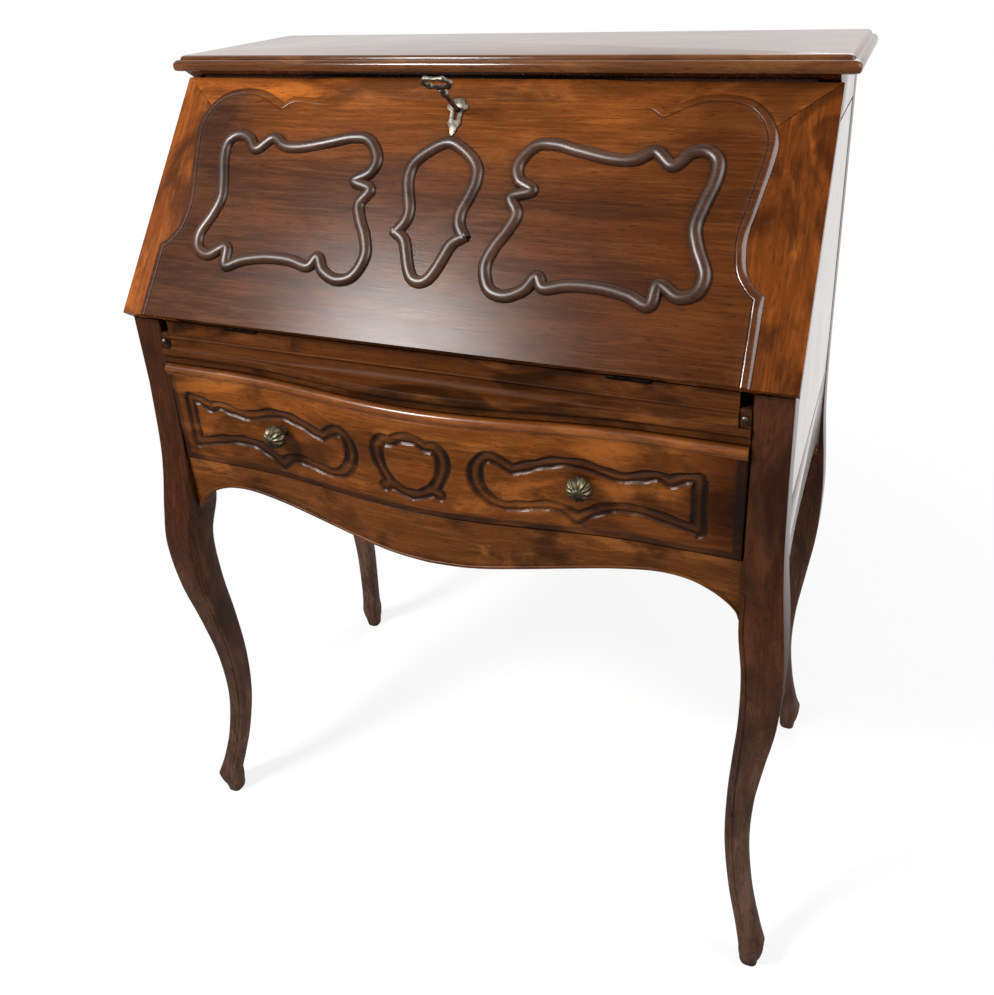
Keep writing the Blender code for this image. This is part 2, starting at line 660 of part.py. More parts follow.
def keyhole(low, high):
    """A cutter in the shape of a keyhole, from low to high through the lid."""
    half = KEYHOLE_SLOT_W / 2
    start = math.asin(half / KEYHOLE_R)
    arc = 12
    outline = [(half, KEY_S - KEYHOLE_SLOT_L)]
    for i in range(arc + 1):
        angle = -math.pi / 2 + start + (math.tau - 2 * start) * i / arc
        outline.append((KEYHOLE_R * math.cos(angle), KEY_S + KEYHOLE_R * math.sin(angle)))
    outline.append((-half, KEY_S - KEYHOLE_SLOT_L))
    return plate("keyhole", outline, low, high, BRASS)


def make_lid(lid, carving):
    half = LID_W / 2
    inner = half - LID_STILE_W
    neck = LID_L - LID_RAIL_W
    slant = LID_STILE_W / LID_RAIL_W
    for word, side in SIDES:
        mitre = GAP * math.hypot(1.0, slant)
        outline = [(side * inner, LID_FOOT), (side * half, LID_FOOT), (side * half, LID_L - GAP),
                   (side * inner, neck - GAP)]
        plate(f"lid_{word}_stile", outline, 0.0, FRAME_T, WALNUT_WARM, lid)
    outline = [(-inner + mitre, neck), (inner - mitre, neck), (half - mitre, LID_L), (-half + mitre, LID_L)]
    rail = plate("lid_top_rail", outline, 0.0, FRAME_T, WALNUT_WARM, lid)
    pocket = block("pocket", (-LOCK_W / 2 - GAP, LOCK_FOOT - GAP, -RUN),
                   (LOCK_W / 2 + GAP, LID_L + RUN, LOCK_T + GAP), WALNUT, carving)
    cut(rail, pocket, WALNUT_WARM)
    hole = keyhole(-RUN, FRAME_T + RUN)
    hole.parent = carving
    cut(rail, hole, WALNUT_WARM)

    panel = block("lid_panel", (-inner + GAP, LID_FOOT, 0.0), (inner - GAP, neck - GAP, FRAME_T), WALNUT,
                  lid)
    for word, side in SIDES:
        reach = HINGE_L / 2 + GAP
        seat = block("seat", (side * HINGE_X - reach, -RUN, -RUN),
                     (side * HINGE_X + reach, LEAF_W + 2 * GAP, LEAF_T + GAP), WALNUT, lid)
        cut(panel, seat, WALNUT)
        reach = HINGE_L / 2 + PIN_HEAD_L + 2 * GAP
        bed = block("bed", (side * HINGE_X - reach, -RUN, -RUN),
                    (side * HINGE_X + reach, KNUCKLE_R + GAP, KNUCKLE_R + GAP), WALNUT, lid)
        cut(panel, bed, WALNUT)

    right = fitted([*FIELD_JOG[:1], *smooth(FIELD_EDGE, 1), *smooth(FIELD_CROWN, 2)[1:]])
    right.insert(0, (LID_W / 2 - FIELD_INSET, LID_FOOT))
    field = plate("lid_field", right + mirrored(right), FIELD_N, FIELD_N + FIELD_T, WALNUT, carving)
    hole = keyhole(FRAME_T - RUN, LID_T + RUN)
    hole.parent = carving
    cut(field, hole, WALNUT)

    for word, side in SIDES:
        strands = [fitted([(MOULD_X + x, up) for x, up in strand]) for strand in SIDE_STRANDS]
        path = [Vector((side * p.x, p.y)) for p in strand_path(strands, CORNER_CLEAR)]
        moulding(f"{word}_moulding", path, carving)
    over = fitted(mirrored(CENTRE_UPPER) + list(CENTRE_UPPER[1:]))
    under = fitted(list(CENTRE_LOWER) + mirrored(CENTRE_LOWER)[1:])
    moulding("centre_moulding", strand_path((over, under), CUSP_CLEAR), carving)


# Lock, key and escutcheon
def make_lock(carving):
    case = block("lock_case", (-LOCK_W / 2, LOCK_FOOT, 0.0), (LOCK_W / 2, LID_L - GAP, LOCK_T), STEEL,
                 carving)
    hollow = block("hollow", (-LOCK_W / 2 + LOCK_WALL, LOCK_FOOT + LOCK_WALL, LOCK_WALL - RUN),
                   (LOCK_W / 2 - LOCK_WALL, LID_L - GAP - LOCK_WALL, LOCK_T + RUN), STEEL, carving)
    cut(case, hollow, STEEL)
    mouth = block("mouth", (-BOLT_W / 2 - GAP, LID_L - GAP - 2 * LOCK_WALL, LOCK_WALL - GAP),
                  (BOLT_W / 2 + GAP, LID_L + RUN, LOCK_WALL + BOLT_T + GAP), STEEL, carving)
    cut(case, mouth, STEEL)
    block("lock_bolt", (-BOLT_W / 2, LID_L - GAP - BOLT_L, LOCK_WALL),
          (BOLT_W / 2, LID_L - GAP, LOCK_WALL + BOLT_T), STEEL, carving)

    shield = smooth(PLATE_HALF, 1)
    outline = [(x, KEY_S + s) for x, s in shield] + [(-x, KEY_S + s) for x, s in reversed(shield[1:-1])]
    escutcheon = plate("escutcheon", outline, LID_T + GAP, LID_T + GAP + PLATE_T, BRASS, carving)
    hole = keyhole(LID_T - RUN, LID_T + PLATE_T + 2 * RUN)
    hole.parent = carving
    cut(escutcheon, hole, BRASS)


def make_key(carving):
    turn = pivot("key_pivot", (0, KEY_S, 0), parent=carving)
    tip = LOCK_WALL
    face = LID_T + GAP + PLATE_T
    end = LID_T + KEY_REACH
    ring = end - KEY_BOW_L
    collar = ring - 2 * KEY_COLLAR_R
    profile = [(0, tip), (KEY_R, tip), (KEY_R, face + RUN), (KEY_R, collar),
               (KEY_COLLAR_R, collar + KEY_R / 2), (KEY_COLLAR_R, collar + 1.5 * KEY_R),
               (KEY_R, collar + 2 * KEY_R), (KEY_R, ring + KEY_BOW_R), (0, ring + KEY_BOW_R)]
    key = turned("key", profile, BRASS, turn)
    bit_out = KEY_R + KEY_BIT_L
    bit = block("bit", (-bit_out, -KEY_BIT_T / 2, tip + GAP), (0, KEY_BIT_T / 2, LOCK_T - 2 * GAP), BRASS,
                turn)
    join(key, bit, BRASS)
    rings = []
    around = 20
    sides = 6
    middle = ring + KEY_BOW_L / 2
    for i in range(around):
        a = math.tau * i / around
        out = Vector((math.cos(a), 0, math.sin(a)))
        centre = Vector(((KEY_BOW_W / 2 - KEY_BOW_R) * out.x, 0,
                         middle + (KEY_BOW_L / 2 - KEY_BOW_R) * out.z))
        rings.append([centre + KEY_BOW_R * (math.cos(math.tau * k / sides) * out
                                            + math.sin(math.tau * k / sides) * Vector((0, 1, 0)))
                      for k in range(sides)])
    bow = loft("bow", rings, BRASS, turn, closed=True)
    join(key, bow, BRASS)
    shade_round(key)


# Hinges of the fall front
def knuckle(name, x_from, x_to):
    """A knuckle along x, bored for the pin, about the hinge line."""
    bm = bmesh.new()
    rim = [(KNUCKLE_R * math.cos(a), KNUCKLE_R * math.sin(a))
           for a in (math.tau * i / TURN_STEPS for i in range(TURN_STEPS))]
    face = bm.faces.new([bm.verts.new((x_from, y, z)) for y, z in rim])
    made = bmesh.ops.extrude_face_region(bm, geom=[face])
    moved = [v for v in made["geom"] if isinstance(v, bmesh.types.BMVert)]
    bmesh.ops.translate(bm, vec=(x_to - x_from, 0, 0), verts=moved)
    return make_object(name, bm, BRASS)


def bore_cutter(x_from, x_to):
    bm = bmesh.new()
    made = bmesh.ops.create_cone(bm, cap_ends=True, segments=TURN_STEPS, radius1=PIN_R + PIN_RUN,
                                 radius2=PIN_R + PIN_RUN, depth=x_to - x_from + 4 * RUN)
    turn = Vector((0, 0, 1)).rotation_difference(Vector((1, 0, 0))).to_matrix()
    bmesh.ops.rotate(bm, cent=(0, 0, 0), matrix=turn, verts=made["verts"])
    bmesh.ops.translate(bm, vec=((x_from + x_to) / 2, 0, 0), verts=made["verts"])
    return make_object("bore", bm, BRASS)


def hinge_leaf(name, low, high, barrels, place, tilt):
    """A leaf with its knuckles joined on and the pin hole bored through them."""
    carrier = pivot(name + "_carrier", place, tilt)
    leaf = block(name, low, high, BRASS, carrier)
    for x_from, x_to in barrels:
        barrel = knuckle("barrel", x_from, x_to)
        barrel.parent = carrier
        join(leaf, barrel, BRASS)
    bore = bore_cutter(low[0], high[0])
    bore.parent = carrier
    cut(leaf, bore, BRASS)
    return leaf


def make_hinges():
    half = HINGE_L / 2
    third = HINGE_L / 6
    tilt = math.pi / 2 - SLOPE
    for word, side in SIDES:
        place = (side * HINGE_X, HINGE_Y, WRITING_Z)
        outer = [(-half, -third - GAP), (third + GAP, half)]
        fixed = hinge_leaf(f"{word}_hinge_fixed_leaf", (-half, PIN_R, -LEAF_T), (half, LEAF_W, 0.0), outer,
                           place, 0.0)
        gate = block("gate", (-third - GAP, -KNUCKLE_R - RUN, -KNUCKLE_R - RUN),
                     (third + GAP, KNUCKLE_R + GAP, KNUCKLE_R + RUN), BRASS, fixed.parent)
        cut(fixed, gate, BRASS)
        moving = hinge_leaf(f"{word}_hinge_lid_leaf", (-half, PIN_R, 0.0), (half, LEAF_W, LEAF_T),
                            [(-third, third)], place, tilt)
        for x_from, x_to in ((-half - RUN, -third), (third, half + RUN)):
            gate = block("gate", (x_from, -KNUCKLE_R - RUN, -KNUCKLE_R - RUN),
                         (x_to, KNUCKLE_R + GAP, KNUCKLE_R + RUN), BRASS, moving.parent)
            cut(moving, gate, BRASS)
        neck = half + GAP
        end = neck + PIN_HEAD_L
        profile = [(0, -end), (PIN_HEAD_R, -end), (PIN_HEAD_R, -neck), (PIN_R, -neck), (PIN_R, neck),
                   (PIN_HEAD_R, neck), (PIN_HEAD_R, end), (0, end)]
        pin = turned(f"{word}_hinge_pin", profile, STEEL)
        pin.rotation_euler = (0, math.pi / 2, 0)
        pin.location = place


# Long drawer
def make_drawer():
    wide = POST_IN - RUN
    top = DRAWER_TOP_Z
    back = FRONT_Y - DRAWER_PROUD + DRAWER_FRONT_T
    rings = []
    for x in bow_stations(wide):
        face = FRONT_Y - DRAWER_PROUD - bow_at(x)
        x_face = math.copysign(min(abs(x), wide - DRAWER_EDGE), x)
        edge_y = face + DRAWER_EDGE
        rings.append([(x, back, DRAWER_BOTTOM_Z), (x, back, top), (x, edge_y, top),
                      (x_face, face, top - DRAWER_EDGE), (x_face, face, DRAWER_BOTTOM_Z + DRAWER_EDGE),
                      (x, edge_y, DRAWER_BOTTOM_Z)])
    loft("drawer_front", rings, WALNUT_WARM)

    outer = wide - RUN
    foot = DRAWER_BOTTOM_Z + DRAWER_SIDE_RISE
    head = foot + DRAWER_SIDE_H
    front = back + GAP
    rear = BACK_FACE_Y - DRAWER_BACK_CLEAR
    for word, side in SIDES:
        ends = sorted((side * outer, side * (outer - DRAWER_SIDE_T)))
        block(f"drawer_{word}_side", (ends[0], front, foot), (ends[1], rear, head), INNER_WOOD)
        knob = turned(f"drawer_{word}_knob", knob_profile(KNOB_L, KNOB_R), BRASS)
        knob.rotation_euler = (math.pi / 2, 0, bow_lean(side * KNOB_X))
        knob.location = (side * KNOB_X, FRONT_Y - DRAWER_PROUD - bow_at(KNOB_X) - GAP,
                         DRAWER_BOTTOM_Z + KNOB_RISE)
    inner = outer - DRAWER_SIDE_T - GAP
    floor = foot + DRAWER_FLOOR_RISE
    block("drawer_back", (-inner, rear - DRAWER_SIDE_T, floor + DRAWER_FLOOR_T + GAP), (inner, rear, head),
          INNER_WOOD)
    block("drawer_bottom", (-inner, front, floor), (inner, rear, floor + DRAWER_FLOOR_T), INNER_WOOD)


# Fittings inside
def make_fittings():
    back = BACK_FACE_Y - GAP
    heel = BACK_Y - POST - GAP
    wide = POST_IN - GAP
    broad = PANEL_IN_X - GAP
    for word, side in SIDES:
        cheek = side * PARTITION_X
        ends = sorted((cheek - PARTITION_T / 2, cheek + PARTITION_T / 2))
        block(f"{word}_partition", (ends[0], FITTINGS_Y, WRITING_Z + GAP), (ends[1], back, TOP_UNDER_Z - GAP),
              INNER_WOOD)
        near = PARTITION_X + PARTITION_T / 2 + GAP
        outline = [(side * near, FITTINGS_Y), (side * broad, FITTINGS_Y), (side * broad, heel),
                   (side * wide, heel), (side * wide, back), (side * near, back)]
        plate(f"{word}_shelf", outline, SHELF_UNDER_Z, SHELF_UNDER_Z + SHELF_T, INNER_WOOD)
        ends = sorted((side * (near + RUN), side * (broad - RUN)))
        face = FITTINGS_Y + SMALL_SET_BACK
        low = WRITING_Z + GAP
        block(f"{word}_small_drawer_front", (ends[0], face, low + RUN),
              (ends[1], face + SMALL_FRONT_T, SHELF_UNDER_Z - RUN), WALNUT)
        start = face + SMALL_FRONT_T + GAP
        tray = block(f"{word}_small_drawer_tray", (ends[0], start, low),
                     (ends[1], heel - RUN, low + SMALL_TRAY_H), INNER_WOOD)
        well = block("well", (ends[0] + SMALL_WALL, start - RUN, low + SMALL_WALL),
                     (ends[1] - SMALL_WALL, heel - RUN - SMALL_WALL, low + SMALL_TRAY_H + RUN), INNER_WOOD)
        cut(tray, well, INNER_WOOD)
        knob = turned(f"{word}_small_drawer_knob", knob_profile(SMALL_KNOB_L, SMALL_KNOB_R), BRASS)
        knob.rotation_euler = (math.pi / 2, 0, 0)
        knob.location = (sum(ends) / 2, face - GAP, (low + SHELF_UNDER_Z) / 2)


for old in list(bpy.data.objects):
    bpy.data.objects.remove(old)
make_legs()
make_sides()
make_top_and_back()
make_upper_rail()
make_front_apron()
make_runners_and_lopers()
lid_pivot = pivot("lid_pivot", (0, HINGE_Y, WRITING_Z), math.pi / 2 - SLOPE)
carving_place = pivot("carving_place", (CARVING_X, 0, 0), parent=lid_pivot)
make_lid(lid_pivot, carving_place)
make_lock(carving_place)
make_key(carving_place)
make_hinges()
make_drawer()
make_fittings()
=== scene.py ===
"""Looks of the slant-front desk: dark polished walnut with carved mouldings and aged brass fittings."""
import json
import math

import bmesh
import bpy
from mathutils import Matrix, Vector
from mathutils.kdtree import KDTree


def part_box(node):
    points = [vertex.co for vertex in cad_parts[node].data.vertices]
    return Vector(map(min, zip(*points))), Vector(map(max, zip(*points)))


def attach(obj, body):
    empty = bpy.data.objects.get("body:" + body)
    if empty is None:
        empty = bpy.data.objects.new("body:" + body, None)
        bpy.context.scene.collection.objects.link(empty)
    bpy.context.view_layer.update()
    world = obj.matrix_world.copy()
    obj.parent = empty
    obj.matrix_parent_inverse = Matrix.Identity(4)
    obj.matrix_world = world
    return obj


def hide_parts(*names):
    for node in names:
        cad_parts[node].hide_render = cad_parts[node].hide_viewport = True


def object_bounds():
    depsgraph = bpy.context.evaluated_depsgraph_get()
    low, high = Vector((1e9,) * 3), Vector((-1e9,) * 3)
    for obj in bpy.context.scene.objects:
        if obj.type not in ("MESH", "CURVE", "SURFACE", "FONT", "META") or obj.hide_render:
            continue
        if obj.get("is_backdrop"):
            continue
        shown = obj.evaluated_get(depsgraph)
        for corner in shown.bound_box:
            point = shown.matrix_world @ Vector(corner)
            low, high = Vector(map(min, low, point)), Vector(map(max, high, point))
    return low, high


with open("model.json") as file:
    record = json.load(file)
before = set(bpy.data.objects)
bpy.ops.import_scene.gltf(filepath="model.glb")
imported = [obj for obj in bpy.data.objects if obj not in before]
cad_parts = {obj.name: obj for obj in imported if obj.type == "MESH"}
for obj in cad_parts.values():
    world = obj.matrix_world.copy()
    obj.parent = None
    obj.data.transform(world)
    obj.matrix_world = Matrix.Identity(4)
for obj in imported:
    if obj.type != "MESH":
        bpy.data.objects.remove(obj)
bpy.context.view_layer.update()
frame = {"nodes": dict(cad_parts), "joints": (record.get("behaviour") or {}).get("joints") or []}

# Legs and corner posts. Each is one length of dark walnut, sawn and rasped to shape, so that the square
# post runs on into the swept leg and its small pad. The arrises are eased more towards the ankle.
FRONT_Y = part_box("left_loper")[0].y
BACK_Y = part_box("top_board")[1].y
HALF_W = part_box("right_slope_stile")[1].x
POST = 0.036
POST_EASE = 0.0022
ANKLE_EASE = 0.0048
KNEE_Z = 0.48
SHIN = 0.3
LEG_BEAD_SPAN = (0.05, 0.525)
LEG_BEAD_IN = 0.0012
# Rows of a leg: height, how far it stands out sideways and lengthways, and its two thicknesses
FRONT_LEG = ((0.650, 0.0, 0.0, 0.0360, 0.0360), (0.575, 0.0015, 0.0035, 0.0373, 0.0393),
             (0.530, 0.0042, 0.0078, 0.0400, 0.0434), (0.480, 0.0090, 0.0155, 0.0440, 0.0500),
             (0.430, 0.0123, 0.0212, 0.0415, 0.0425), (0.365, 0.0093, 0.0176, 0.0390, 0.0390),
             (0.300, -0.0005, 0.0090, 0.0342, 0.0342), (0.235, -0.0092, 0.0030, 0.0294, 0.0294),
             (0.170, -0.0120, 0.0040, 0.0262, 0.0262), (0.107, -0.0045, 0.0110, 0.0250, 0.0250),
             (0.060, 0.0075, 0.0195, 0.0256, 0.0256), (0.034, 0.0165, 0.0275, 0.0280, 0.0280))
BACK_LEG = ((0.650, 0.0, 0.0, 0.0360, 0.0360), (0.575, 0.0010, 0.0, 0.0367, 0.0360),
            (0.530, 0.0030, 0.0010, 0.0387, 0.0348), (0.480, 0.0075, 0.0030, 0.0423, 0.0325),
            (0.430, 0.0105, 0.0050, 0.0400, 0.0370), (0.365, 0.0085, 0.0095, 0.0380, 0.0355),
            (0.300, 0.0, 0.0165, 0.0335, 0.0315), (0.235, -0.0085, 0.0225, 0.0290, 0.0280),
            (0.170, -0.0115, 0.0225, 0.0260, 0.0255), (0.107, -0.0065, 0.0165, 0.0248, 0.0248),
            (0.060, 0.0010, 0.0085, 0.0252, 0.0252), (0.034, 0.0075, 0.0010, 0.0275, 0.0275))
# Rows of the pad: height, how far its faces step in, and how much thinner it is
LEG_PAD = ((0.030, 0.0004, 0.0003), (0.026, 0.001, 0.001), (0.018, 0.0026, 0.0030), (0.012, 0.0045, 0.0055),
           (0.004, 0.0056, 0.0070), (0.0, 0.006, 0.0085))
SIDES = (("left", -1), ("right", 1))


class Signal:
    """One output of a shader node. It adds, subtracts and multiplies like a number or a vector."""

    def __init__(self, tree, socket):
        self.tree = tree
        self.socket = socket

    def node(self, kind, settings, inputs, output=0):
        """A further node of the same tree: its settings are made first, then its inputs are fed."""
        made = self.tree.nodes.new(kind)
        for key, value in settings.items():
            setattr(made, key, value)
        for key, value in inputs.items():
            feed(made.inputs[key], value)
        return Signal(self.tree, made.outputs[output])

    def pair(self, operation, first, second):
        """A sum, difference or product, of numbers or of vectors as this signal is one or the other."""
        kind = "ShaderNodeMath" if self.socket.type == "VALUE" else "ShaderNodeVectorMath"
        return self.node(kind, {"operation": operation}, {0: first, 1: second})

    def __add__(self, other):
        return self.pair("ADD", self, other)

    def __sub__(self, other):
        return self.pair("SUBTRACT", self, other)

    def __rsub__(self, other):
        return self.pair("SUBTRACT", other, self)

    def __mul__(self, other):
        return self.pair("MULTIPLY", self, other)

    __radd__ = __add__
    __rmul__ = __mul__

    def dot(self, axis):
        """How far this vector reaches along a direction."""
        return self.node("ShaderNodeVectorMath", {"operation": "DOT_PRODUCT"}, {0: self, 1: tuple(axis)},
                         "Value")

    def ramp(self, low, high):
        """0 below low, 1 above high and smooth between them."""
        return self.node("ShaderNodeMapRange", {"interpolation_type": "SMOOTHSTEP"},
                         {"Value": self, "From Min": low, "From Max": high})

    def mix(self, first, second):
        """A colour between two colours, with this signal as the share of the second."""
        return self.node("ShaderNodeMix", {"data_type": "RGBA"}, {0: self, 6: first, 7: second}, output=2)


def feed(socket, value):
    """Link a signal to a socket, or set the socket to a constant."""
    if isinstance(value, Signal):
        value.tree.links.new(value.socket, socket)
    elif socket.type == "RGBA":
        socket.default_value = (*value, 1.0)
    else:
        socket.default_value = value


def fresh_material(name):
    """A new material, the inputs of its shader, and the place on the object as a signal."""
    material = bpy.data.materials.new(name)
    material.use_nodes = True
    tree = material.node_tree
    place = Signal(tree, tree.nodes.new("ShaderNodeTexCoord").outputs["Object"])
    return material, tree.nodes["Principled BSDF"].inputs, place


def wood(name, grain, tone, gloss=0.30, flame=0.45, shine=0.14, coat=0.0, coat_rough=0.12, stain_and_shade=None,
         fades=()):
    """Polished timber of a tone with its grain along a direction.

    A dark mark is an attribute, the colour it brings and the roughness it adds; it darkens the wood partly as
    real staining and partly as painted shade. A fade is a direction, where the fade starts and ends along it,
    and the colour at its end.
    """
    material, shader, place = fresh_material(name)
    run = Vector(grain).normalized()
    side = run.orthogonal().normalized()
    along, across, through = (place.dot(axis) for axis in (run, side, run.cross(side)))

    def noise(stretch, fine, detail, warp):
        where = place.node("ShaderNodeCombineXYZ", {},
                           {0: along * stretch, 1: across * fine, 2: through * fine})
        return place.node("ShaderNodeTexNoise", {}, {"Vector": where, "Scale": 1.0, "Detail": detail,
                                                     "Roughness": 0.6, "Distortion": warp})

    figure = noise(3.0, 34.0, 4.0, 0.5)
    fibre = noise(16.0, 330.0, 3.0, 0.2)
    cloud = noise(7.0, 15.0, 4.0, 1.0)
    fleck = noise(9.0, 27.0, 4.0, 0.8)
    pores = noise(75.0, 900.0, 2.0, 0.0)
    crevice_grime_and_shade = place.node("ShaderNodeAmbientOcclusion", {"samples": 5}, {"Distance": 0.016}, "AO")
    body = tone
    for heading, start, stop, far_tone in fades or [(run, 0.0, 1.0, tone)]:
        body = place.dot(heading).ramp(start, stop).mix(body, far_tone)
    light = body * (1.8, 2.0, 2.1)
    dark = body * (0.26, 0.26, 0.26)
    colour = ((1 - figure.ramp(0.30, 0.70)) * 0.45).mix(body, (0.0, 0.0, 0.0))
    colour = (fleck.ramp(0.51, 0.67) * flame).mix(colour, light)
    colour = (fibre.ramp(0.42, 0.76) * 0.40).mix(colour, light)
    colour = (cloud.ramp(0.47, 0.65) * flame).mix(colour, dark)
    colour = (pores.ramp(0.55, 0.70) * 0.65).mix(colour, dark)
    # Painted shade with grime: the colour goes darker where ambient occlusion finds crevices, recesses and
    # gaps between parts.
    colour = (0.9 - crevice_grime_and_shade).ramp(0.0, 0.75).mix(colour, body * (0.1, 0.1, 0.1))
    rough = gloss + fibre * 0.08 + cloud * 0.10 - 0.09
    if stain_and_shade:
        attribute, stain_and_shade_tone, stain_and_shade_rough = stain_and_shade
        # The attribute's share of the dark tone: old polish and patina together with painted shade.
        stain_and_shade_share = place.node("ShaderNodeAttribute", {"attribute_name": attribute}, {}, "Fac")
        stain_and_shade_share = stain_and_shade_share * (1 - fleck.ramp(0.42, 0.68) * 0.40)
        colour = stain_and_shade_share.mix(colour, stain_and_shade_tone)
        rough = rough + stain_and_shade_share * stain_and_shade_rough
    bump = place.node("ShaderNodeBump", {}, {"Strength": 0.10, "Distance": 0.0004, "Height": fibre + pores})
    for entry, value in (("Base Color", colour), ("Roughness", rough), ("Normal", bump),
                         ("Specular IOR Level", shine), ("Coat Weight", coat),
                         ("Coat Roughness", coat_rough)):
        feed(shader[entry], value)
    return material


def smooth(points, steps):
    """Points on a curve through the given ones, each span cut into steps, both ends kept."""
    first = [2 * a - b for a, b in zip(points[0], points[1])]
    last = [2 * a - b for a, b in zip(points[-1], points[-2])]
    knots = [first, *points, last]
    curve = []
    for i in range(1, len(knots) - 2):
        for k in range(steps):
            t = k / steps
            curve.append(tuple(
                0.5 * (2 * b + (c - a) * t + (2 * a - 5 * b + 4 * c - d) * t ** 2
                       + (3 * b - a - 3 * c + d) * t ** 3)
                for a, b, c, d in zip(knots[i - 1], knots[i], knots[i + 1], knots[i + 2])))
    curve.append(tuple(points[-1]))
    return curve


def loft(rings):
    """Points and faces of rings of equal length, bridged one to the next and closed at both ends."""
    size = len(rings[0])
    last = (len(rings) - 1) * size
    faces = [(i + k, i + (k + 1) % size, i + size + (k + 1) % size, i + size + k)
             for i in range(0, last, size) for k in range(size)]
    faces += [tuple(range(size)), tuple(range(last, last + size))]
    return [p for ring in rings for p in ring], faces


def join(points, faces, more, tiles):
    """Put one more shell into lists of points and faces."""
    faces += [[i + len(points) for i in tile] for tile in tiles]
    points += more


SHARP = 35


def solid(name, points, faces, material, sharp=SHARP):
    """A closed mesh with smooth shading that breaks at sharp edges."""
    mesh = bpy.data.meshes.new(name)
    mesh.from_pydata([tuple(p) for p in points], [], faces)
    bm = bmesh.new()
    bm.from_mesh(mesh)
    bmesh.ops.recalc_face_normals(bm, faces=bm.faces)
    bm.to_mesh(mesh)
    bm.free()
    mesh.shade_smooth()
    mesh.set_sharp_from_angle(angle=math.radians(sharp))
    mesh.materials.append(material)
    made = bpy.data.objects.new(name, mesh)
    bpy.context.collection.objects.link(made)
    return made


def settle(made, body, slot, *nodes):
    """The piece moves with its body and stands for any CAD nodes named, which are hidden. The slot is not
    used.
    """
    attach(made, body)
    if nodes:
        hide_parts(*nodes)


def held(value):
    """The value, kept between 0 and 1."""
    return min(max(value, 0), 1)


def angles(sweep, steps):
    """Even steps of angle from zero to a sweep in degrees."""
    return [math.radians(sweep * k / steps) for k in range(steps + 1)]


def rounded(x_out, x_in, y_out, y_in, z, ease):
    """A rectangle at height z with its four corners rounded."""
    ring = []
    for i, (x, y) in enumerate(((x_out, y_out), (x_in, y_out), (x_in, y_in), (x_out, y_in))):
        sx = math.copysign(1, (x_out + x_in) / 2 - x)
        sy = math.copysign(1, (y_out + y_in) / 2 - y)
        arc = [(x + sx * ease * (1 - math.sin(a)), y + sy * ease * (1 - math.cos(a)), z)
               for a in angles(90, 4)]
        ring += arc if i % 2 else arc[::-1]
    return ring


# Painted reflection: the walnut of the legs is lighter and greyer towards the feet, and darkest at the posts
# and above.
leg_wood = wood("leg_walnut", (0, 0, 1), (0.090, 0.0420, 0.0250), 0.28, flame=0.55, shine=0.38,
                fades=[((0, 0, 1), 0.14, 0.52, (0.056, 0.0150, 0.0040))])
leg_beads = []
for word, side in SIDES:
    for end, table in (("front", FRONT_LEG), ("back", BACK_LEG)):
        node = f"{end}_{word}_leg"
        top_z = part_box(node)[1].z
        stations = [(top_z, *table[0][1:])] + smooth(table, steps=6)
        _, toe_out, toe_along, toe_x, toe_y = stations[-1]
        for z, drawn, thinner in LEG_PAD:
            along = toe_along + drawn if end == "back" else toe_along - drawn
            stations.append((z, toe_out - drawn, along, toe_x - thinner, toe_y - thinner))
        rings, bead = [], []
        for z, out, along, thick_x, thick_y in stations:
            x_out = side * (HALF_W + out)
            y_out = BACK_Y - along if end == "back" else FRONT_Y - along
            y_in = y_out - thick_y if end == "back" else y_out + thick_y
            ease = POST_EASE + ANKLE_EASE * held((KNEE_Z - z) / SHIN)
            rings.append(rounded(x_out, x_out - side * thick_x, y_out, y_in, z, ease))
            if LEG_BEAD_SPAN[0] < z < LEG_BEAD_SPAN[1]:
                bead.append((x_out - side * (thick_x - ease - LEG_BEAD_IN), y_out, z))
        settle(solid(f"{node}_turned", *loft(rings), leg_wood), "case", "walnut_dark", node)
        if end == "front":
            leg_beads.append(bead)

# Top board. One wide walnut board with its grain along the desk. A thumb moulding with a fillet is planed
# round its front and ends, and its back edge is left square. A bevelled batten glued under it closes the
# gap above the lid; it takes the darkest tone of the legs' walnut so that the gap reads as painted shade.
TOP_PROFILE = ((0.0030, 0.0), (0.0012, 0.0009), (0.0003, 0.0028), (0.0, 0.0060), (0.0004, 0.0085),
               (0.0018, 0.0108), (0.0040, 0.0122), (0.0068, 0.0125), (0.0070, 0.0140), (0.0078, 0.0155),
               (0.0096, 0.0166), (0.0120, 0.0170))
TOP_CORNER = 0.005
BATTEN = ((-0.0111, 0.0), (-0.0030, 0.0055), (0.0080, 0.0055), (0.0080, 0.0))
BATTEN_END = ((-0.0111, 0.0), (-0.0030, 0.0053), (0.0030, 0.0095), (0.0080, 0.0132), (0.0188, 0.0))
BATTEN_X = 0.3505
BATTEN_END_X = 0.3510
BATTEN_PROUD = 0.0004
top_wood = wood("top_walnut", (1, 0, 0), (0.122, 0.042, 0.0135), 0.20, coat=0.4)
low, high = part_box("top_board")
turn = [(TOP_CORNER * (1 - math.sin(a)), TOP_CORNER * (1 - math.cos(a))) for a in angles(90, 6)]
rings = []
for inset, rise in TOP_PROFILE:
    x = high.x - inset
    y = low.y + inset
    ring = [(-x + dx, y + dy, low.z + rise) for dx, dy in turn[::-1]]
    ring += [(x - dx, y + dy, low.z + rise) for dx, dy in turn]
    rings.append(ring + [(x, high.y, low.z + rise), (-x, high.y, low.z + rise)])
settle(solid("top_board_moulded", *loft(rings), top_wood), "case", "walnut", "top_board")
points, faces = [], []
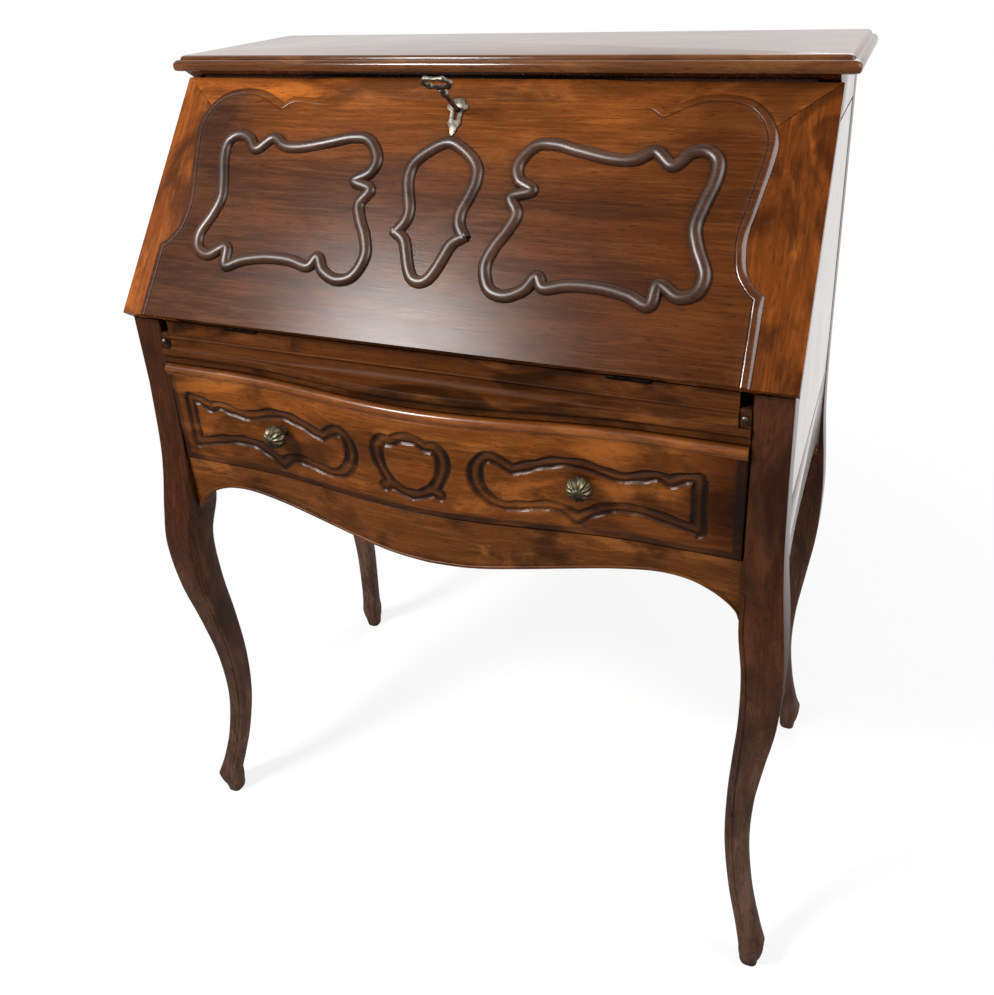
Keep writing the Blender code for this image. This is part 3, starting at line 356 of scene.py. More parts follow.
for section, start, stop in ((BATTEN, -BATTEN_X, BATTEN_X),
                             (BATTEN_END, -HALF_W - BATTEN_PROUD, -BATTEN_END_X),
                             (BATTEN_END, BATTEN_END_X, HALF_W + BATTEN_PROUD)):
    join(points, faces, *loft([[(x, y, low.z - drop) for y, drop in section]
                               for x in (start, (start + stop) / 2, stop)]))
# Painted shade: a dark strip of the legs' walnut where the gap above the lid lies in shade.
settle(solid("top_batten", points, faces, leg_wood), "case", "walnut_dark")

# Side frames. A sloping stile, a top rail, a thin panel in a groove and a shaped apron on each side, of
# walnut boards with planed edges. The panel is flush outside, with a fine groove round it.
ARRIS = 0.0008
GROOVE_FROM_EDGE = 0.0016
GROOVE_SLANT = 0.0004
PANEL_OUT = 0.0036
SIDE_TONE = (0.115, 0.040, 0.014)
side_wood = wood("side_walnut", (0, 0, 1), SIDE_TONE, 0.16, coat=0.6)
rail_wood = wood("side_rail_walnut", (0, 1, 0), SIDE_TONE, 0.16, coat=0.6)
SLOPE = math.radians(38.0)
UP_SLOPE = Vector((0, math.sin(SLOPE), math.cos(SLOPE)))
OUT_OF_SLOPE = Vector((0, -math.cos(SLOPE), math.sin(SLOPE)))
stile_wood = wood("stile_walnut", UP_SLOPE, (0.205, 0.0520, 0.0078), 0.24, flame=0.9,
                  fades=[((1, 0, 0), -0.30, 0.30, (0.160, 0.0395, 0.0056))])


def eased(node, ease, material, sharp=SHARP):
    """A copy of a plain CAD piece with its edges eased."""
    bm = bmesh.new()
    bm.from_mesh(frame["nodes"][node].data)
    bmesh.ops.remove_doubles(bm, verts=bm.verts, dist=1e-6)
    bmesh.ops.dissolve_limit(bm, angle_limit=math.radians(1), verts=bm.verts, edges=bm.edges)
    corners = [e for e in bm.edges if len(e.link_faces) == 2 and e.calc_face_angle() > math.radians(30)]
    bmesh.ops.bevel(bm, geom=corners, offset=ease, segments=2, profile=0.5, affect="EDGES",
                    clamp_overlap=True)
    bm.verts.index_update()
    points = [v.co.copy() for v in bm.verts]
    faces = [[v.index for v in f.verts] for f in bm.faces]
    bm.free()
    return solid(f"{node}_finished", points, faces, material, sharp)


def plain_piece(node, ease, material, body, slot):
    """An eased copy settled in place of its own CAD node."""
    settle(eased(node, ease, material), body, slot, node)


for word, side in SIDES:
    plain_piece(f"{word}_slope_stile", ARRIS, stile_wood, "case", "walnut_warm")
    plain_piece(f"{word}_top_rail", ARRIS, rail_wood, "case", "walnut")
    made = eased(f"{word}_side_panel", ARRIS, side_wood)
    bm = bmesh.new()
    bm.from_mesh(made.data)
    outside = max(bm.faces, key=lambda face: side * face.normal.x * face.calc_area())
    for inset in (GROOVE_FROM_EDGE, GROOVE_SLANT):
        bmesh.ops.inset_region(bm, faces=[outside], thickness=inset)
    for v in outside.verts:
        v.co.x += side * PANEL_OUT
    bm.to_mesh(made.data)
    bm.free()
    made.data.set_sharp_from_angle(angle=math.radians(SHARP))
    settle(made, "case", "walnut", f"{word}_side_panel")
    plain_piece(f"{word}_side_apron", ARRIS, rail_wood, "case", "walnut")

# Back of the case. Five upright deal boards with eased edges, nailed side by side, left rough and
# unpolished since they stand against a wall.
BOARDS = 5
BOARD_GAP = 0.0004
BOARD_T = 0.008
BOARD_CHAMFER = (0.0024, 0.0065)
NAIL_IN = 0.018
NAIL_SUNK = 0.0002
NAIL_HEAD = (0.0024, 0.0008, 0.0024)
back_wood = wood("back_deal", (0, 0, 1), (0.200, 0.110, 0.050), 0.75, flame=0.35)
low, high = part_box("back_panel")
wide = (high.x - low.x) / BOARDS
edge_in, edge_y = BOARD_CHAMFER
ring = [(BOARD_GAP, 0.0), (wide - BOARD_GAP, 0.0), (wide - BOARD_GAP, edge_y), (wide - edge_in, BOARD_T),
        (edge_in, BOARD_T), (BOARD_GAP, edge_y)]
points, faces = [], []
for i in range(BOARDS):
    x = low.x + i * wide
    join(points, faces, *loft([[(x + dx, low.y + dy, z) for dx, dy in ring] for z in (low.z, high.z)]))
settle(solid("back_boards", points, faces, back_wood), "case", "inner_wood", "back_panel")


def metal(name, base, tarnish, rough):
    """Old metal, tarnished in clouds, and darker in its hollows with tarnish and painted shade."""
    material, shader, place = fresh_material(name)
    cloud = place.node("ShaderNodeTexNoise", {}, {"Vector": place, "Scale": 190.0, "Detail": 4.0})
    grit = place.node("ShaderNodeTexNoise", {}, {"Vector": place, "Scale": 1400.0, "Detail": 2.0})
    crevice_grime_and_shade = place.node("ShaderNodeAmbientOcclusion", {"samples": 5}, {"Distance": 0.012}, "AO")
    colour = cloud.ramp(0.40, 0.66).mix(base, tarnish)
    # Painted shade with tarnish: the colour goes darker where ambient occlusion finds hollows and creases.
    colour = (0.9 - crevice_grime_and_shade).ramp(0.0, 0.7).mix(colour, tuple(0.4 * c for c in tarnish))
    bump = place.node("ShaderNodeBump", {}, {"Strength": 0.15, "Distance": 0.0003, "Height": grit})
    for entry, value in (("Base Color", colour), ("Roughness", rough + cloud * 0.3 - 0.15), ("Normal", bump),
                         ("Metallic", 1.0)):
        feed(shader[entry], value)
    return material


def node_tree(name, entries, kinds, constants, links):
    """A geometry node tree: its named inputs, its nodes with their settings, constants, and links."""
    tree = bpy.data.node_groups.new(name, "GeometryNodeTree")
    for label, kind in entries:
        tree.interface.new_socket(label, in_out="INPUT", socket_type=f"NodeSocket{kind}")
    tree.interface.new_socket("Geometry", in_out="OUTPUT", socket_type="NodeSocketGeometry")
    made = {}
    for key, kind, *settings in kinds:
        made[key] = tree.nodes.new(kind)
        for setting, value in settings:
            setattr(made[key], setting, value)
    for key, entry, value in constants:
        made[key].inputs[entry].default_value = value
    for source, output, target, entry in links:
        tree.links.new(made[source].outputs[output], made[target].inputs[entry])
    return tree


def grown(name, points, edges, tree, values, turn=Matrix.Identity(4)):
    """The plain mesh that a node tree grows from points and edges, turned into its place."""
    seed = bpy.data.meshes.new(name)
    seed.from_pydata([tuple(p) for p in points], edges, [])
    carrier = bpy.data.objects.new(name, seed)
    bpy.context.collection.objects.link(carrier)
    modifier = carrier.modifiers.new("grow", "NODES")
    modifier.node_group = tree
    for item in tree.interface.items_tree:
        if item.in_out == "INPUT" and item.name in values:
            modifier[item.identifier] = values[item.name]
    bpy.context.view_layer.update()
    seen = carrier.evaluated_get(bpy.context.evaluated_depsgraph_get())
    carrier.data = bpy.data.meshes.new_from_object(seen)
    carrier.modifiers.clear()
    carrier.data.transform(turn)
    carrier.data.shade_smooth()
    carrier.data.set_sharp_from_angle(angle=math.radians(50))
    return carrier


# Heads: a flattened ball on every point
heads = node_tree(
    "round_heads", (("Geometry", "Geometry"), ("Scale", "Vector"), ("Material", "Material")),
    (("in", "NodeGroupInput"), ("head", "GeometryNodeMeshUVSphere"), ("set", "GeometryNodeInstanceOnPoints"),
     ("real", "GeometryNodeRealizeInstances"), ("finish", "GeometryNodeSetMaterial"),
     ("out", "NodeGroupOutput")),
    (("head", "Segments", 14), ("head", "Rings", 8), ("head", "Radius", 1.0)),
    (("in", "Geometry", "set", "Points"), ("head", "Mesh", "set", "Instance"),
     ("in", "Scale", "set", "Scale"), ("set", "Instances", "real", "Geometry"),
     ("real", "Geometry", "finish", "Geometry"), ("in", "Material", "finish", "Material"),
     ("finish", "Geometry", "out", "Geometry")))
iron = metal("nail_iron", (0.10, 0.085, 0.075), (0.045, 0.030, 0.022), 0.6)
nails = [(low.x + (i + share) * (high.x - low.x) / BOARDS, high.y - NAIL_SUNK, z) for i in range(BOARDS)
         for share in (0.2, 0.8) for z in (low.z + NAIL_IN, (low.z + high.z) / 2, high.z - NAIL_IN)]
made = grown("back_nails", nails, [], heads, {"Scale": NAIL_HEAD, "Material": iron})
settle(made, "case", "steel")

# Inside of the case. Writing board, runners and kickers, partitions and shelves are plain boards of a paler
# wood, waxed and glued into the carcass. The closing rail under the top is of the legs' dark walnut, so that
# the gap behind the shut lid reads as painted shade.
FINE_ARRIS = 0.0006
BOX_ARRIS = 0.0007
inner_wood, inner_upright, inner_deep = (
    wood(f"inner_wood_{way}", grain, (0.245, 0.128, 0.056), 0.5, flame=0.3)
    for way, grain in (("along", (1, 0, 0)), ("upright", (0, 0, 1)), ("deep", (0, 1, 0))))
plain_piece("writing_board", FINE_ARRIS, inner_wood, "case", "inner_wood")
# Painted shade: the stop rail is dark so that the gap above the lid reads as shadow.
plain_piece("lid_stop_rail", FINE_ARRIS, leg_wood, "case", "walnut")
for word, _ in SIDES:
    for part, material in (("drawer_runner", inner_deep), ("kicker", inner_deep),
                           ("partition", inner_upright), ("shelf", inner_wood)):
        plain_piece(f"{word}_{part}", BOX_ARRIS, material, "case", "inner_wood")

# Upper front rail and lopers. A bowed rail with a coved ledge, a square slot at each end and beds for the
# hinges. From each slot a plain bar with a small brass button pulls out to carry the open lid.
HINGE = Vector([joint for joint in frame["joints"] if joint["name"] == "lid_hinge"][0]["pos_m"])
LEDGE_Z = HINGE.z - 0.0345
BOW = 0.023
BOW_HALF_W = 0.25
RAIL_D = 0.022
LOPER_GAP_X = 0.0004
LOPER_GAP_Z = 0.0003
LEAF_GAP_X = 0.0003
LEAF_GAP_Y = 0.0006
LEAF_SEAT = 0.0019
KNUCKLE_BED = 0.0029
BEAD_Z, BEAD_OUT, BEAD_RISE = LEDGE_Z + 0.0140, 0.0013, 0.0016
COVE_H, COVE_LEAST, COVE_SHARE, COVE_MOST = 0.012, 0.0022, 0.35, 0.009
NOSE_R, NOSE_OUT, NOSE_ROUND = 0.0045, 0.004, 0.0018
UNDERCUT_Z, UNDERCUT_H, UNDERCUT_OUT = LEDGE_Z - 0.013, 0.004, 0.0022
front_wood = wood("front_walnut", (1, 0, 0), (0.086, 0.0245, 0.0046), 0.50, flame=0.95, shine=0.07)
# Painted shade: the lopers are a dark walnut so that their ends read as dark notches in the shade under the
# lid.
loper_wood = wood("loper_walnut", (0, 1, 0), (0.060, 0.021, 0.008), 0.4)
rail_low, rail_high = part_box("upper_front_rail")
leaf_low, leaf_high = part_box("right_hinge_fixed_leaf")
loper_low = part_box("right_loper")[0]
slot_x = loper_low.x - LOPER_GAP_X
bed_x = (leaf_low.x - LEAF_GAP_X, leaf_high.x + LEAF_GAP_X)


def bow_at(x):
    """How far the bowed front stands out at x."""
    return BOW * 0.5 * (1 + math.cos(math.pi * min(abs(x) / BOW_HALF_W, 1)))


def rail_section(x):
    """The rail sawn through at x: back, top with its slot or hinge bed, bead, cove, nosing and undercut."""
    swell = bow_at(x)
    top = loper_low.z - LOPER_GAP_Z if abs(x) > slot_x else HINGE.z
    seat = bed = top
    if bed_x[0] < abs(x) < bed_x[1]:
        seat = HINGE.z - LEAF_SEAT
        bed = HINGE.z - KNUCKLE_BED
    back = FRONT_Y + RAIL_D
    seat_back = leaf_high.y + LEAF_GAP_Y
    bed_back = HINGE.y + KNUCKLE_BED
    cove = min(COVE_LEAST + COVE_SHARE * swell, COVE_MOST)
    nose = FRONT_Y - NOSE_OUT - swell
    ring = [(back, rail_low.z), (back, top - ARRIS), (back - ARRIS, top), (seat_back, top), (seat_back, seat),
            (bed_back, seat), (bed_back, bed), (FRONT_Y + ARRIS, bed), (FRONT_Y, bed - ARRIS)]
    ring += [(FRONT_Y - BEAD_OUT * math.sin(a), BEAD_Z + BEAD_RISE * math.cos(a)) for a in angles(180, 6)]
    ring += [(FRONT_Y - cove * (1 - math.cos(a)), LEDGE_Z + COVE_H * (1 - math.sin(a)))
             for a in angles(90, 8)]
    ring += [(nose + NOSE_ROUND * (1 - math.sin(a)), LEDGE_Z - NOSE_R + NOSE_R * math.cos(a))
             for a in angles(180, 8)]
    ring += [(FRONT_Y - swell - UNDERCUT_OUT * (1 - math.sin(a)), UNDERCUT_Z + UNDERCUT_H * math.cos(a))
             for a in angles(90, 4)[1:]]
    ring.append((FRONT_Y - swell, rail_low.z))
    return [(x, y, min(z, top - ARRIS) if y < FRONT_Y + ARRIS else z) for y, z in ring]


cuts = [rail_high.x * math.sin(math.pi / 2 * k / 70) for k in range(71)]
cuts += [stop + step for stop in (slot_x, *bed_x) for step in (-1e-5, 1e-5)]
cuts = sorted({-c for c in cuts} | set(cuts))
made = solid("upper_front_rail_coved", *loft([rail_section(x) for x in cuts]), front_wood)
settle(made, "case", "walnut", "upper_front_rail")
for word, _ in SIDES:
    plain_piece(f"{word}_loper", ARRIS, loper_wood, f"{word}_loper", "walnut")

# Front apron. A bowed board sawn to a wavy lower edge, with a small bead worked along that edge. Darker
# beads carry it on down the inner edges of the front legs.
APRON_EDGE = ((0.0, 0.0650), (0.15, 0.0625), (0.32, 0.0550), (0.48, 0.0470), (0.62, 0.0395), (0.75, 0.0340),
              (0.84, 0.0360), (0.91, 0.0445), (0.96, 0.0555), (0.99, 0.0660), (1.0, 0.0750))
APRON_NOSE = ((0.0, 0.003), (0.0012, 0.0008), (0.0035, 0.0))
APRON_T = 0.020
APRON_GAP = 0.0003
APRON_BEAD_IN = 0.0004
APRON_BEAD_UP = 0.0042
warm_wood = wood("warm_walnut", (1, 0, 0), (0.130, 0.039, 0.0078), 0.26, flame=0.85)
wide = HALF_W - POST - APRON_GAP
apron_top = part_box("front_apron")[1].z
half = smooth(APRON_EDGE, steps=6)
lower_edge = [(-wide * share, apron_top - drop) for share, drop in reversed(half)]
lower_edge += [(wide * share, apron_top - drop) for share, drop in half[1:]]
rings = []
back = FRONT_Y + APRON_T
for x, z in lower_edge:
    front = FRONT_Y - bow_at(x)
    section = [(front + ARRIS, apron_top), (front, apron_top - ARRIS),
               *((front + dy, z + dz) for dy, dz in APRON_NOSE),
               (back - ARRIS, z), (back, z + ARRIS), (back, apron_top)]
    rings.append([(x, y, height) for y, height in section])
settle(solid("front_apron_shaped", *loft(rings), warm_wood), "case", "walnut_warm", "front_apron")


def strung(paths):
    """The points of some paths and the edges along each."""
    points, edges = [], []
    for path in paths:
        edges += [(len(points) + i, len(points) + i + 1) for i in range(len(path) - 1)]
        points += path
    return points, edges


# Runs: a round or half-round section swept along the edges of a mesh
RUN_POINTS = 13
runs = node_tree(
    "moulded_run", (("Geometry", "Geometry"), ("Width", "Float"), ("Height", "Float"), ("Sweep", "Float"),
                    ("Material", "Material")),
    (("in", "NodeGroupInput"), ("curve", "GeometryNodeMeshToCurve"),
     ("normal", "GeometryNodeSetCurveNormal", ("mode", "Z_UP")), ("arc", "GeometryNodeCurveArc"),
     ("closed", "GeometryNodeSetSplineCyclic"), ("half", "ShaderNodeMath", ("operation", "MULTIPLY")),
     ("scale", "ShaderNodeCombineXYZ"), ("section", "GeometryNodeTransform"),
     ("sweep", "GeometryNodeCurveToMesh"), ("finish", "GeometryNodeSetMaterial"),
     ("real", "GeometryNodeRealizeInstances"), ("out", "NodeGroupOutput")),
    (("half", 1, 0.5), ("arc", "Resolution", RUN_POINTS), ("arc", "Radius", 1.0), ("closed", "Cyclic", True),
     ("sweep", "Fill Caps", True)),
    (("in", "Geometry", "curve", "Mesh"), ("curve", "Curve", "normal", "Curve"),
     ("in", "Sweep", "arc", "Sweep Angle"), ("arc", "Curve", "closed", "Geometry"),
     ("in", "Width", "half", 0), ("half", 0, "scale", "X"), ("in", "Height", "scale", "Y"),
     ("closed", "Geometry", "section", "Geometry"), ("scale", 0, "section", "Scale"),
     ("normal", "Curve", "sweep", "Curve"), ("section", "Geometry", "sweep", "Profile Curve"),
     ("sweep", "Mesh", "finish", "Geometry"), ("in", "Material", "finish", "Material"),
     ("finish", "Geometry", "real", "Geometry"), ("real", "Geometry", "out", "Geometry")))
apron_bead = [(x, FRONT_Y - bow_at(x) + APRON_BEAD_IN, z + APRON_BEAD_UP) for x, z in lower_edge]
for name, paths, material, slot in (("apron_bead", [apron_bead], warm_wood, "walnut_warm"),
                                    ("leg_beads", leg_beads, leg_wood, "walnut_dark")):
    made = grown(name, *strung(paths), runs,
                 {"Width": 0.0032, "Height": 0.0016, "Sweep": 2 * math.pi * (RUN_POINTS - 1) / RUN_POINTS,
                  "Material": material})
    settle(made, "case", slot)

# Long drawer. A bowed walnut front with a bevelled border, a roll along its top and three carved channels,
# on a dovetailed box of paler wood. Each channel is a low ridge between two gouged hollows that are
# darker with old polish and with painted shade, the painted shade heavier where a channel runs upright.
# The bevelled border is darker with patina and painted shade, most of all at the right end.
CARVING_X = -0.008
CHANNEL = (((0.298, 0.6415), (0.283, 0.6390), (0.270, 0.6325)),
           ((0.270, 0.6325), (0.258, 0.6370), (0.240, 0.6330), (0.222, 0.6295), (0.207, 0.6325),
            (0.185, 0.6385), (0.160, 0.6400), (0.137, 0.6345), (0.113, 0.6265)),
           ((0.113, 0.6265), (0.100, 0.6345), (0.087, 0.6385), (0.0765, 0.6290), (0.0735, 0.6140),
            (0.079, 0.5975), (0.091, 0.5865), (0.105, 0.5825)),
           ((0.105, 0.5825), (0.128, 0.5855), (0.150, 0.5885), (0.166, 0.5840), (0.178, 0.5755)),
           ((0.178, 0.5755), (0.190, 0.5840), (0.210, 0.5935), (0.238, 0.5950), (0.266, 0.5905),
            (0.285, 0.5860), (0.298, 0.5840)),
           ((0.298, 0.5840), (0.2985, 0.6100), (0.298, 0.6415)))
SHIELD = (((0.0, 0.6480), (0.011, 0.6465), (0.0205, 0.6405)),
          ((0.0205, 0.6405), (0.0300, 0.6410), (0.0375, 0.6335), (0.0390, 0.6215), (0.0355, 0.6085),
           (0.0305, 0.5985), (0.0255, 0.5900)),
          ((0.0255, 0.5900), (0.0170, 0.5860), (0.0090, 0.5820), (0.0, 0.5805)),
          ((0.0255, 0.5900), (0.0330, 0.5850)))
# Half widths of a channel: where it runs level, and what is added where it runs upright
CHANNEL_W = (0.0072, 0.0030)
SHIELD_W = (0.0078, 0.0020)
GOUGE_DEPTH = 0.0026
GOUGE_FLOOR = 0.6
RIDGE_SUNK = 0.34
GRID = 0.00098
DRAWER_PROUD = 0.006
LIP = 0.0055
LIP_WIDE = 0.0115
LIP_ARRIS = 0.0015
BEVEL = 0.0040
QUIRK_D = 0.0006
QUIRK_HALF_W = 0.0014
ROLL = 0.0058
ROLL_PROUD = 0.0012
ROLL_QUIRK = 0.0012
# Share of the dark tone on the bevelled border: patina with painted shade, and more painted shade at the
# right end, which faces away from the lamp.
BORDER_PATINA_AND_SHADE = 0.60
RIGHT_PATINA_AND_SHADE = 0.80
PIN = ((0.0, -0.0022), (0.011, -0.0044), (0.011, 0.0044), (0.0, 0.0022))
PINS = 4
PIN_DEEP = 0.002
PIN_PROUD = 0.00012
# The front is lighter towards its top and darker towards both ends, the right end's darkness being painted
# shade. Its attribute-led dark tone darkens the carving and the border with old polish, patina and painted
# shade.
drawer_wood = wood("drawer_walnut", (1, 0, 0), (0.145, 0.039, 0.0060), 0.24, flame=0.75, shine=0.2,
                   stain_and_shade=("hollow", (0.012, 0.0052, 0.0030), 0.22),
                   fades=[((0, 0, 1), 0.60, 0.66, (0.175, 0.048, 0.0068)),
                          ((1, 0, 0), 0.255, 0.325, (0.054, 0.0130, 0.0016)),
                          ((-1, 0, 0), 0.280, 0.345, (0.072, 0.0185, 0.0032))])
roll_wood = wood("drawer_roll_walnut", (1, 0, 0), (0.165, 0.045, 0.0066), 0.22, flame=0.6, shine=0.3,
                 coat=0.6, coat_rough=0.30)
low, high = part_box("drawer_front")
line, half_widths, polish_and_upright_shade = [], [], []
for strands, (level_w, upright_w) in ((CHANNEL, CHANNEL_W), (SHIELD, SHIELD_W)):
    for strand in strands:
        curve = smooth(strand, steps=24)
        for (x, z), (x_on, z_on) in zip(curve, curve[1:]):
            steep = abs(z_on - z) / math.hypot(x_on - x, z_on - z)
            unsteady = 1 + 0.10 * math.sin(210 * x + 90 * z)
            line += [(CARVING_X + x, z), (CARVING_X - x, z)]
            half_widths += 2 * [(level_w + upright_w * steep) * unsteady]
            # Old polish in the channels, with painted shade added where a channel runs upright.
            polish_and_upright_shade += 2 * [0.78 + 0.20 * steep]
finder = KDTree(len(line))
for i, (x, z) in enumerate(line):
    finder.insert((x, z, 0), i)
finder.balance()
columns = round((high.x - low.x) / GRID)
rows = round((high.z - low.z) / GRID)
points, hollow = [], []
for r in range(rows + 1):
    z = low.z + (high.z - low.z) * r / rows
    for c in range(columns + 1):
        x = low.x + (high.x - low.x) * c / columns
        edge = min(x - low.x, high.x - x, z - low.z)
        turned = held(1 - edge / LIP_WIDE)
        drop = BEVEL * turned + (LIP - BEVEL) * max(1 - edge / LIP_ARRIS, 0) ** 2
        drop += QUIRK_D * max(1 - ((edge - LIP_WIDE) / QUIRK_HALF_W) ** 2, 0)
        if high.z - z < 2 * ROLL + ROLL_QUIRK:
            turned = 0
            across = (high.z - z) / ROLL - 1
            drop = ROLL - ROLL * math.sqrt(max(1 - across ** 2, 0)) - ROLL_PROUD
            drop = min(drop, ROLL_QUIRK) if across > 0 else drop
        _, nearest, off = finder.find((x, z, 0))
        off = min(off / half_widths[nearest], 1)
        on_ridge = off < GOUGE_FLOOR
        slope = off / GOUGE_FLOOR if on_ridge else (1 - off) / (1 - GOUGE_FLOOR)
        gouge = 0.5 - 0.5 * math.cos(math.pi * slope)
        gouge = RIDGE_SUNK + (1 - RIDGE_SUNK) * gouge if on_ridge else gouge
        # The darker of the border's patina with painted shade and the channels' polish with painted shade.
        patina_and_shade = (RIGHT_PATINA_AND_SHADE if high.x - x < LIP_WIDE else BORDER_PATINA_AND_SHADE) * min(4 * turned, 1)
        hollow.append(max(min(1.3 * gouge, 1) * polish_and_upright_shade[nearest], patina_and_shade))
        points.append((x, FRONT_Y - DRAWER_PROUD - bow_at(x) + drop + GOUGE_DEPTH * gouge, z))
wide = columns + 1
faces = [(i + k, i + k + 1, i + wide + k + 1, i + wide + k)
         for i in range(0, rows * wide, wide) for k in range(columns)]
rim = [*range(wide), *range(2 * wide - 1, len(points), wide),
       *range(len(points) - 2, rows * wide - 1, -1), *range((rows - 1) * wide, 0, -wide)]
back = len(points)
points += [(points[i][0], high.y, points[i][2]) for i in rim]
hollow += [0.0] * len(rim)
faces += [(rim[k], rim[(k + 1) % len(rim)], back + (k + 1) % len(rim), back + k) for k in range(len(rim))]
faces.append(tuple(range(back, len(points))))
made = solid("drawer_front_carved", points, faces, drawer_wood)
made.data.materials.append(roll_wood)
for face in made.data.polygons:
    face.material_index = int(len(face.vertices) == 4 and face.center.z > high.z - 2 * ROLL)
made.data.attributes.new("hollow", "FLOAT", "POINT").data.foreach_set("value", hollow)
settle(made, "drawer", "walnut_warm", "drawer_front")
for part, material in (("left_side", inner_deep), ("right_side", inner_deep), ("back", inner_wood),
                       ("bottom", inner_wood)):
    plain_piece(f"drawer_{part}", BOX_ARRIS, material, "drawer", "inner_wood")
points, faces = [], []
for word, side in SIDES:
    low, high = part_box(f"drawer_{word}_side")
    outer = high.x if side > 0 else low.x
    for k in range(PINS):
        z = low.z + (k + 0.5) * (high.z - low.z) / PINS
        join(points, faces, *loft([[(x, low.y + dy, z + dz) for dy, dz in PIN]
                                   for x in (outer - side * PIN_DEEP, outer + side * PIN_PROUD)]))
settle(solid("drawer_dovetail_pins", points, faces, drawer_wood), "drawer", "walnut_warm")

# Knobs. Cast brass mushrooms with a fluted rosette on the head, screwed through the drawer fronts,
# now dull, and darker brown in the flutes and round the base with tarnish and painted shade. Small plain
# ones of the same kind pull out the lopers.
KNOB_SHAPE = ((0.0, 0.0), (0.42, 0.0), (0.42, 0.05), (0.38, 0.12), (0.36, 0.20), (0.42, 0.27), (0.62, 0.32),
              (0.84, 0.38), (0.96, 0.46), (1.0, 0.55), (0.99, 0.64), (0.95, 0.73), (0.86, 0.81), (0.72, 0.88),
              (0.56, 0.925), (0.42, 0.93), (0.33, 0.945), (0.24, 0.98), (0.12, 1.0), (0.0, 1.0))
KNOB_R, KNOB_L = 0.0135, 0.0255
KNOB_X, KNOB_Z = 0.175, 0.621
KNOB_SEAT = 0.0063
FLUTE_IN, FLUTE_DOWN = 0.11, 0.05
BUTTON_R, BUTTON_L = 0.0034, 0.0060
brass = metal("aged_brass", (0.225, 0.190, 0.118), (0.095, 0.078, 0.048), 0.48)


def spun(profile, seat, axis, flutes, around):
    """Points and faces of a profile of radius and height spun about an axis, its head fluted if asked."""
    turn = Vector((0, 0, 1)).rotation_difference(Vector(axis)).to_matrix()
    top = profile[-1][1]
    rings = []
    for radius, height in profile:
        on_head = held((height / top - 0.5) * 6) * held(radius / top * 4 - 0.5) if flutes else 0
        ring = []
        for k in range(around):
            a = 2 * math.pi * k / around
            dip = on_head * (0.5 - 0.5 * math.cos(flutes * a))
            r = max(radius, 1e-5) * (1 - FLUTE_IN * dip)
            spot = Vector((r * math.cos(a), r * math.sin(a), height - FLUTE_DOWN * top * dip))
            ring.append(Vector(seat) + turn @ spot)
        rings.append(ring)
    return loft(rings)


def knob(name, radius, length, seat, axis=(0, -1, 0), flutes=12, around=96):
    """A brass knob of the one pattern, seated on a front."""
    profile = [(r * radius, h * length) for r, h in KNOB_SHAPE]
    return solid(name, *spun(profile, seat, axis, flutes, around), brass)


for word, side in SIDES:
    node = f"drawer_{word}_knob"
    x = side * KNOB_X
    lean = side * math.atan(BOW * 0.5 * math.pi / BOW_HALF_W * math.sin(math.pi * KNOB_X / BOW_HALF_W))
    seat = (x, FRONT_Y - KNOB_SEAT - bow_at(x), KNOB_Z)
    made = knob(f"{node}_fluted", KNOB_R, KNOB_L, seat, (math.sin(lean), -math.cos(lean), 0))
    settle(made, "drawer", "brass", node)

for word, _ in SIDES:
    low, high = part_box(f"{word}_loper")
    seat = ((low.x + high.x) / 2, low.y, (low.z + high.z) / 2)
    made = knob(f"{word}_loper_button", BUTTON_R, BUTTON_L, seat, flutes=0, around=32)
    settle(made, f"{word}_loper", "brass")

# Small drawers inside. Walnut fronts with eased edges on trays of the paler wood, each with a little brass
# knob of the same pattern.
SMALL_KNOB_R, SMALL_KNOB_L = 0.007, 0.014
SMALL_FRONT_EASE = 0.0014
for word, _ in SIDES:
    body = f"{word}_small_drawer"
    plain_piece(f"{body}_front", SMALL_FRONT_EASE, front_wood, body, "walnut")
    plain_piece(f"{body}_tray", FINE_ARRIS, inner_deep, body, "inner_wood")
    low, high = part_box(f"{body}_knob")
    middle = (low + high) / 2
    made = knob(f"{body}_knob_fluted", SMALL_KNOB_R, SMALL_KNOB_L, (middle.x, high.y, middle.z))
    settle(made, body, "brass", f"{body}_knob")

# Frame of the fall front. Mitred stiles and a top rail round a flat panel. The stiles and the corners of
# the rail are a warmer walnut with the grain along each piece, and the rail darkens to the right.
LID_L = 0.2948
LID_T = 0.016
LID_EASE = 0.0001
TOP_EDGE = 0.003
TOP_EDGE_UP = 0.0012


def on_lid(x, s, n):
    """A point of the shut lid: across, up the slope, and out from its inner face."""
    return Vector((x, HINGE.y, HINGE.z)) + s * UP_SLOPE + n * OUT_OF_SLOPE


lid_rail_wood = wood("lid_rail_walnut", (1, 0, 0), (0.268, 0.066, 0.0080), 0.26, flame=0.6,
                     fades=[((1, 0, 0), -0.30, -0.08, (0.172, 0.046, 0.0076))])
for part, material in (("left_stile", stile_wood), ("right_stile", stile_wood),
                       ("top_rail", lid_rail_wood)):
    made = eased(f"lid_{part}", LID_EASE, material, sharp=20)
    for v in made.data.vertices:
        if (v.co - HINGE).dot(UP_SLOPE) > LID_L - TOP_EDGE:
            v.co += TOP_EDGE_UP * UP_SLOPE
    settle(made, "lid", "walnut_warm", f"lid_{part}")
plain_piece("lid_panel", ARRIS, front_wood, "lid", "walnut")

# Crest of the lid. Between the two corners the rail is left as thick as the field below it, so that the two
# are one surface there, and it is carved down to the frame at each end.
CREST_HALF_W = 0.212
CREST_RUN = 0.065
CREST_FOOT = 0.0100
CREST_END = 0.0118
CREST_RISE = 0.00415
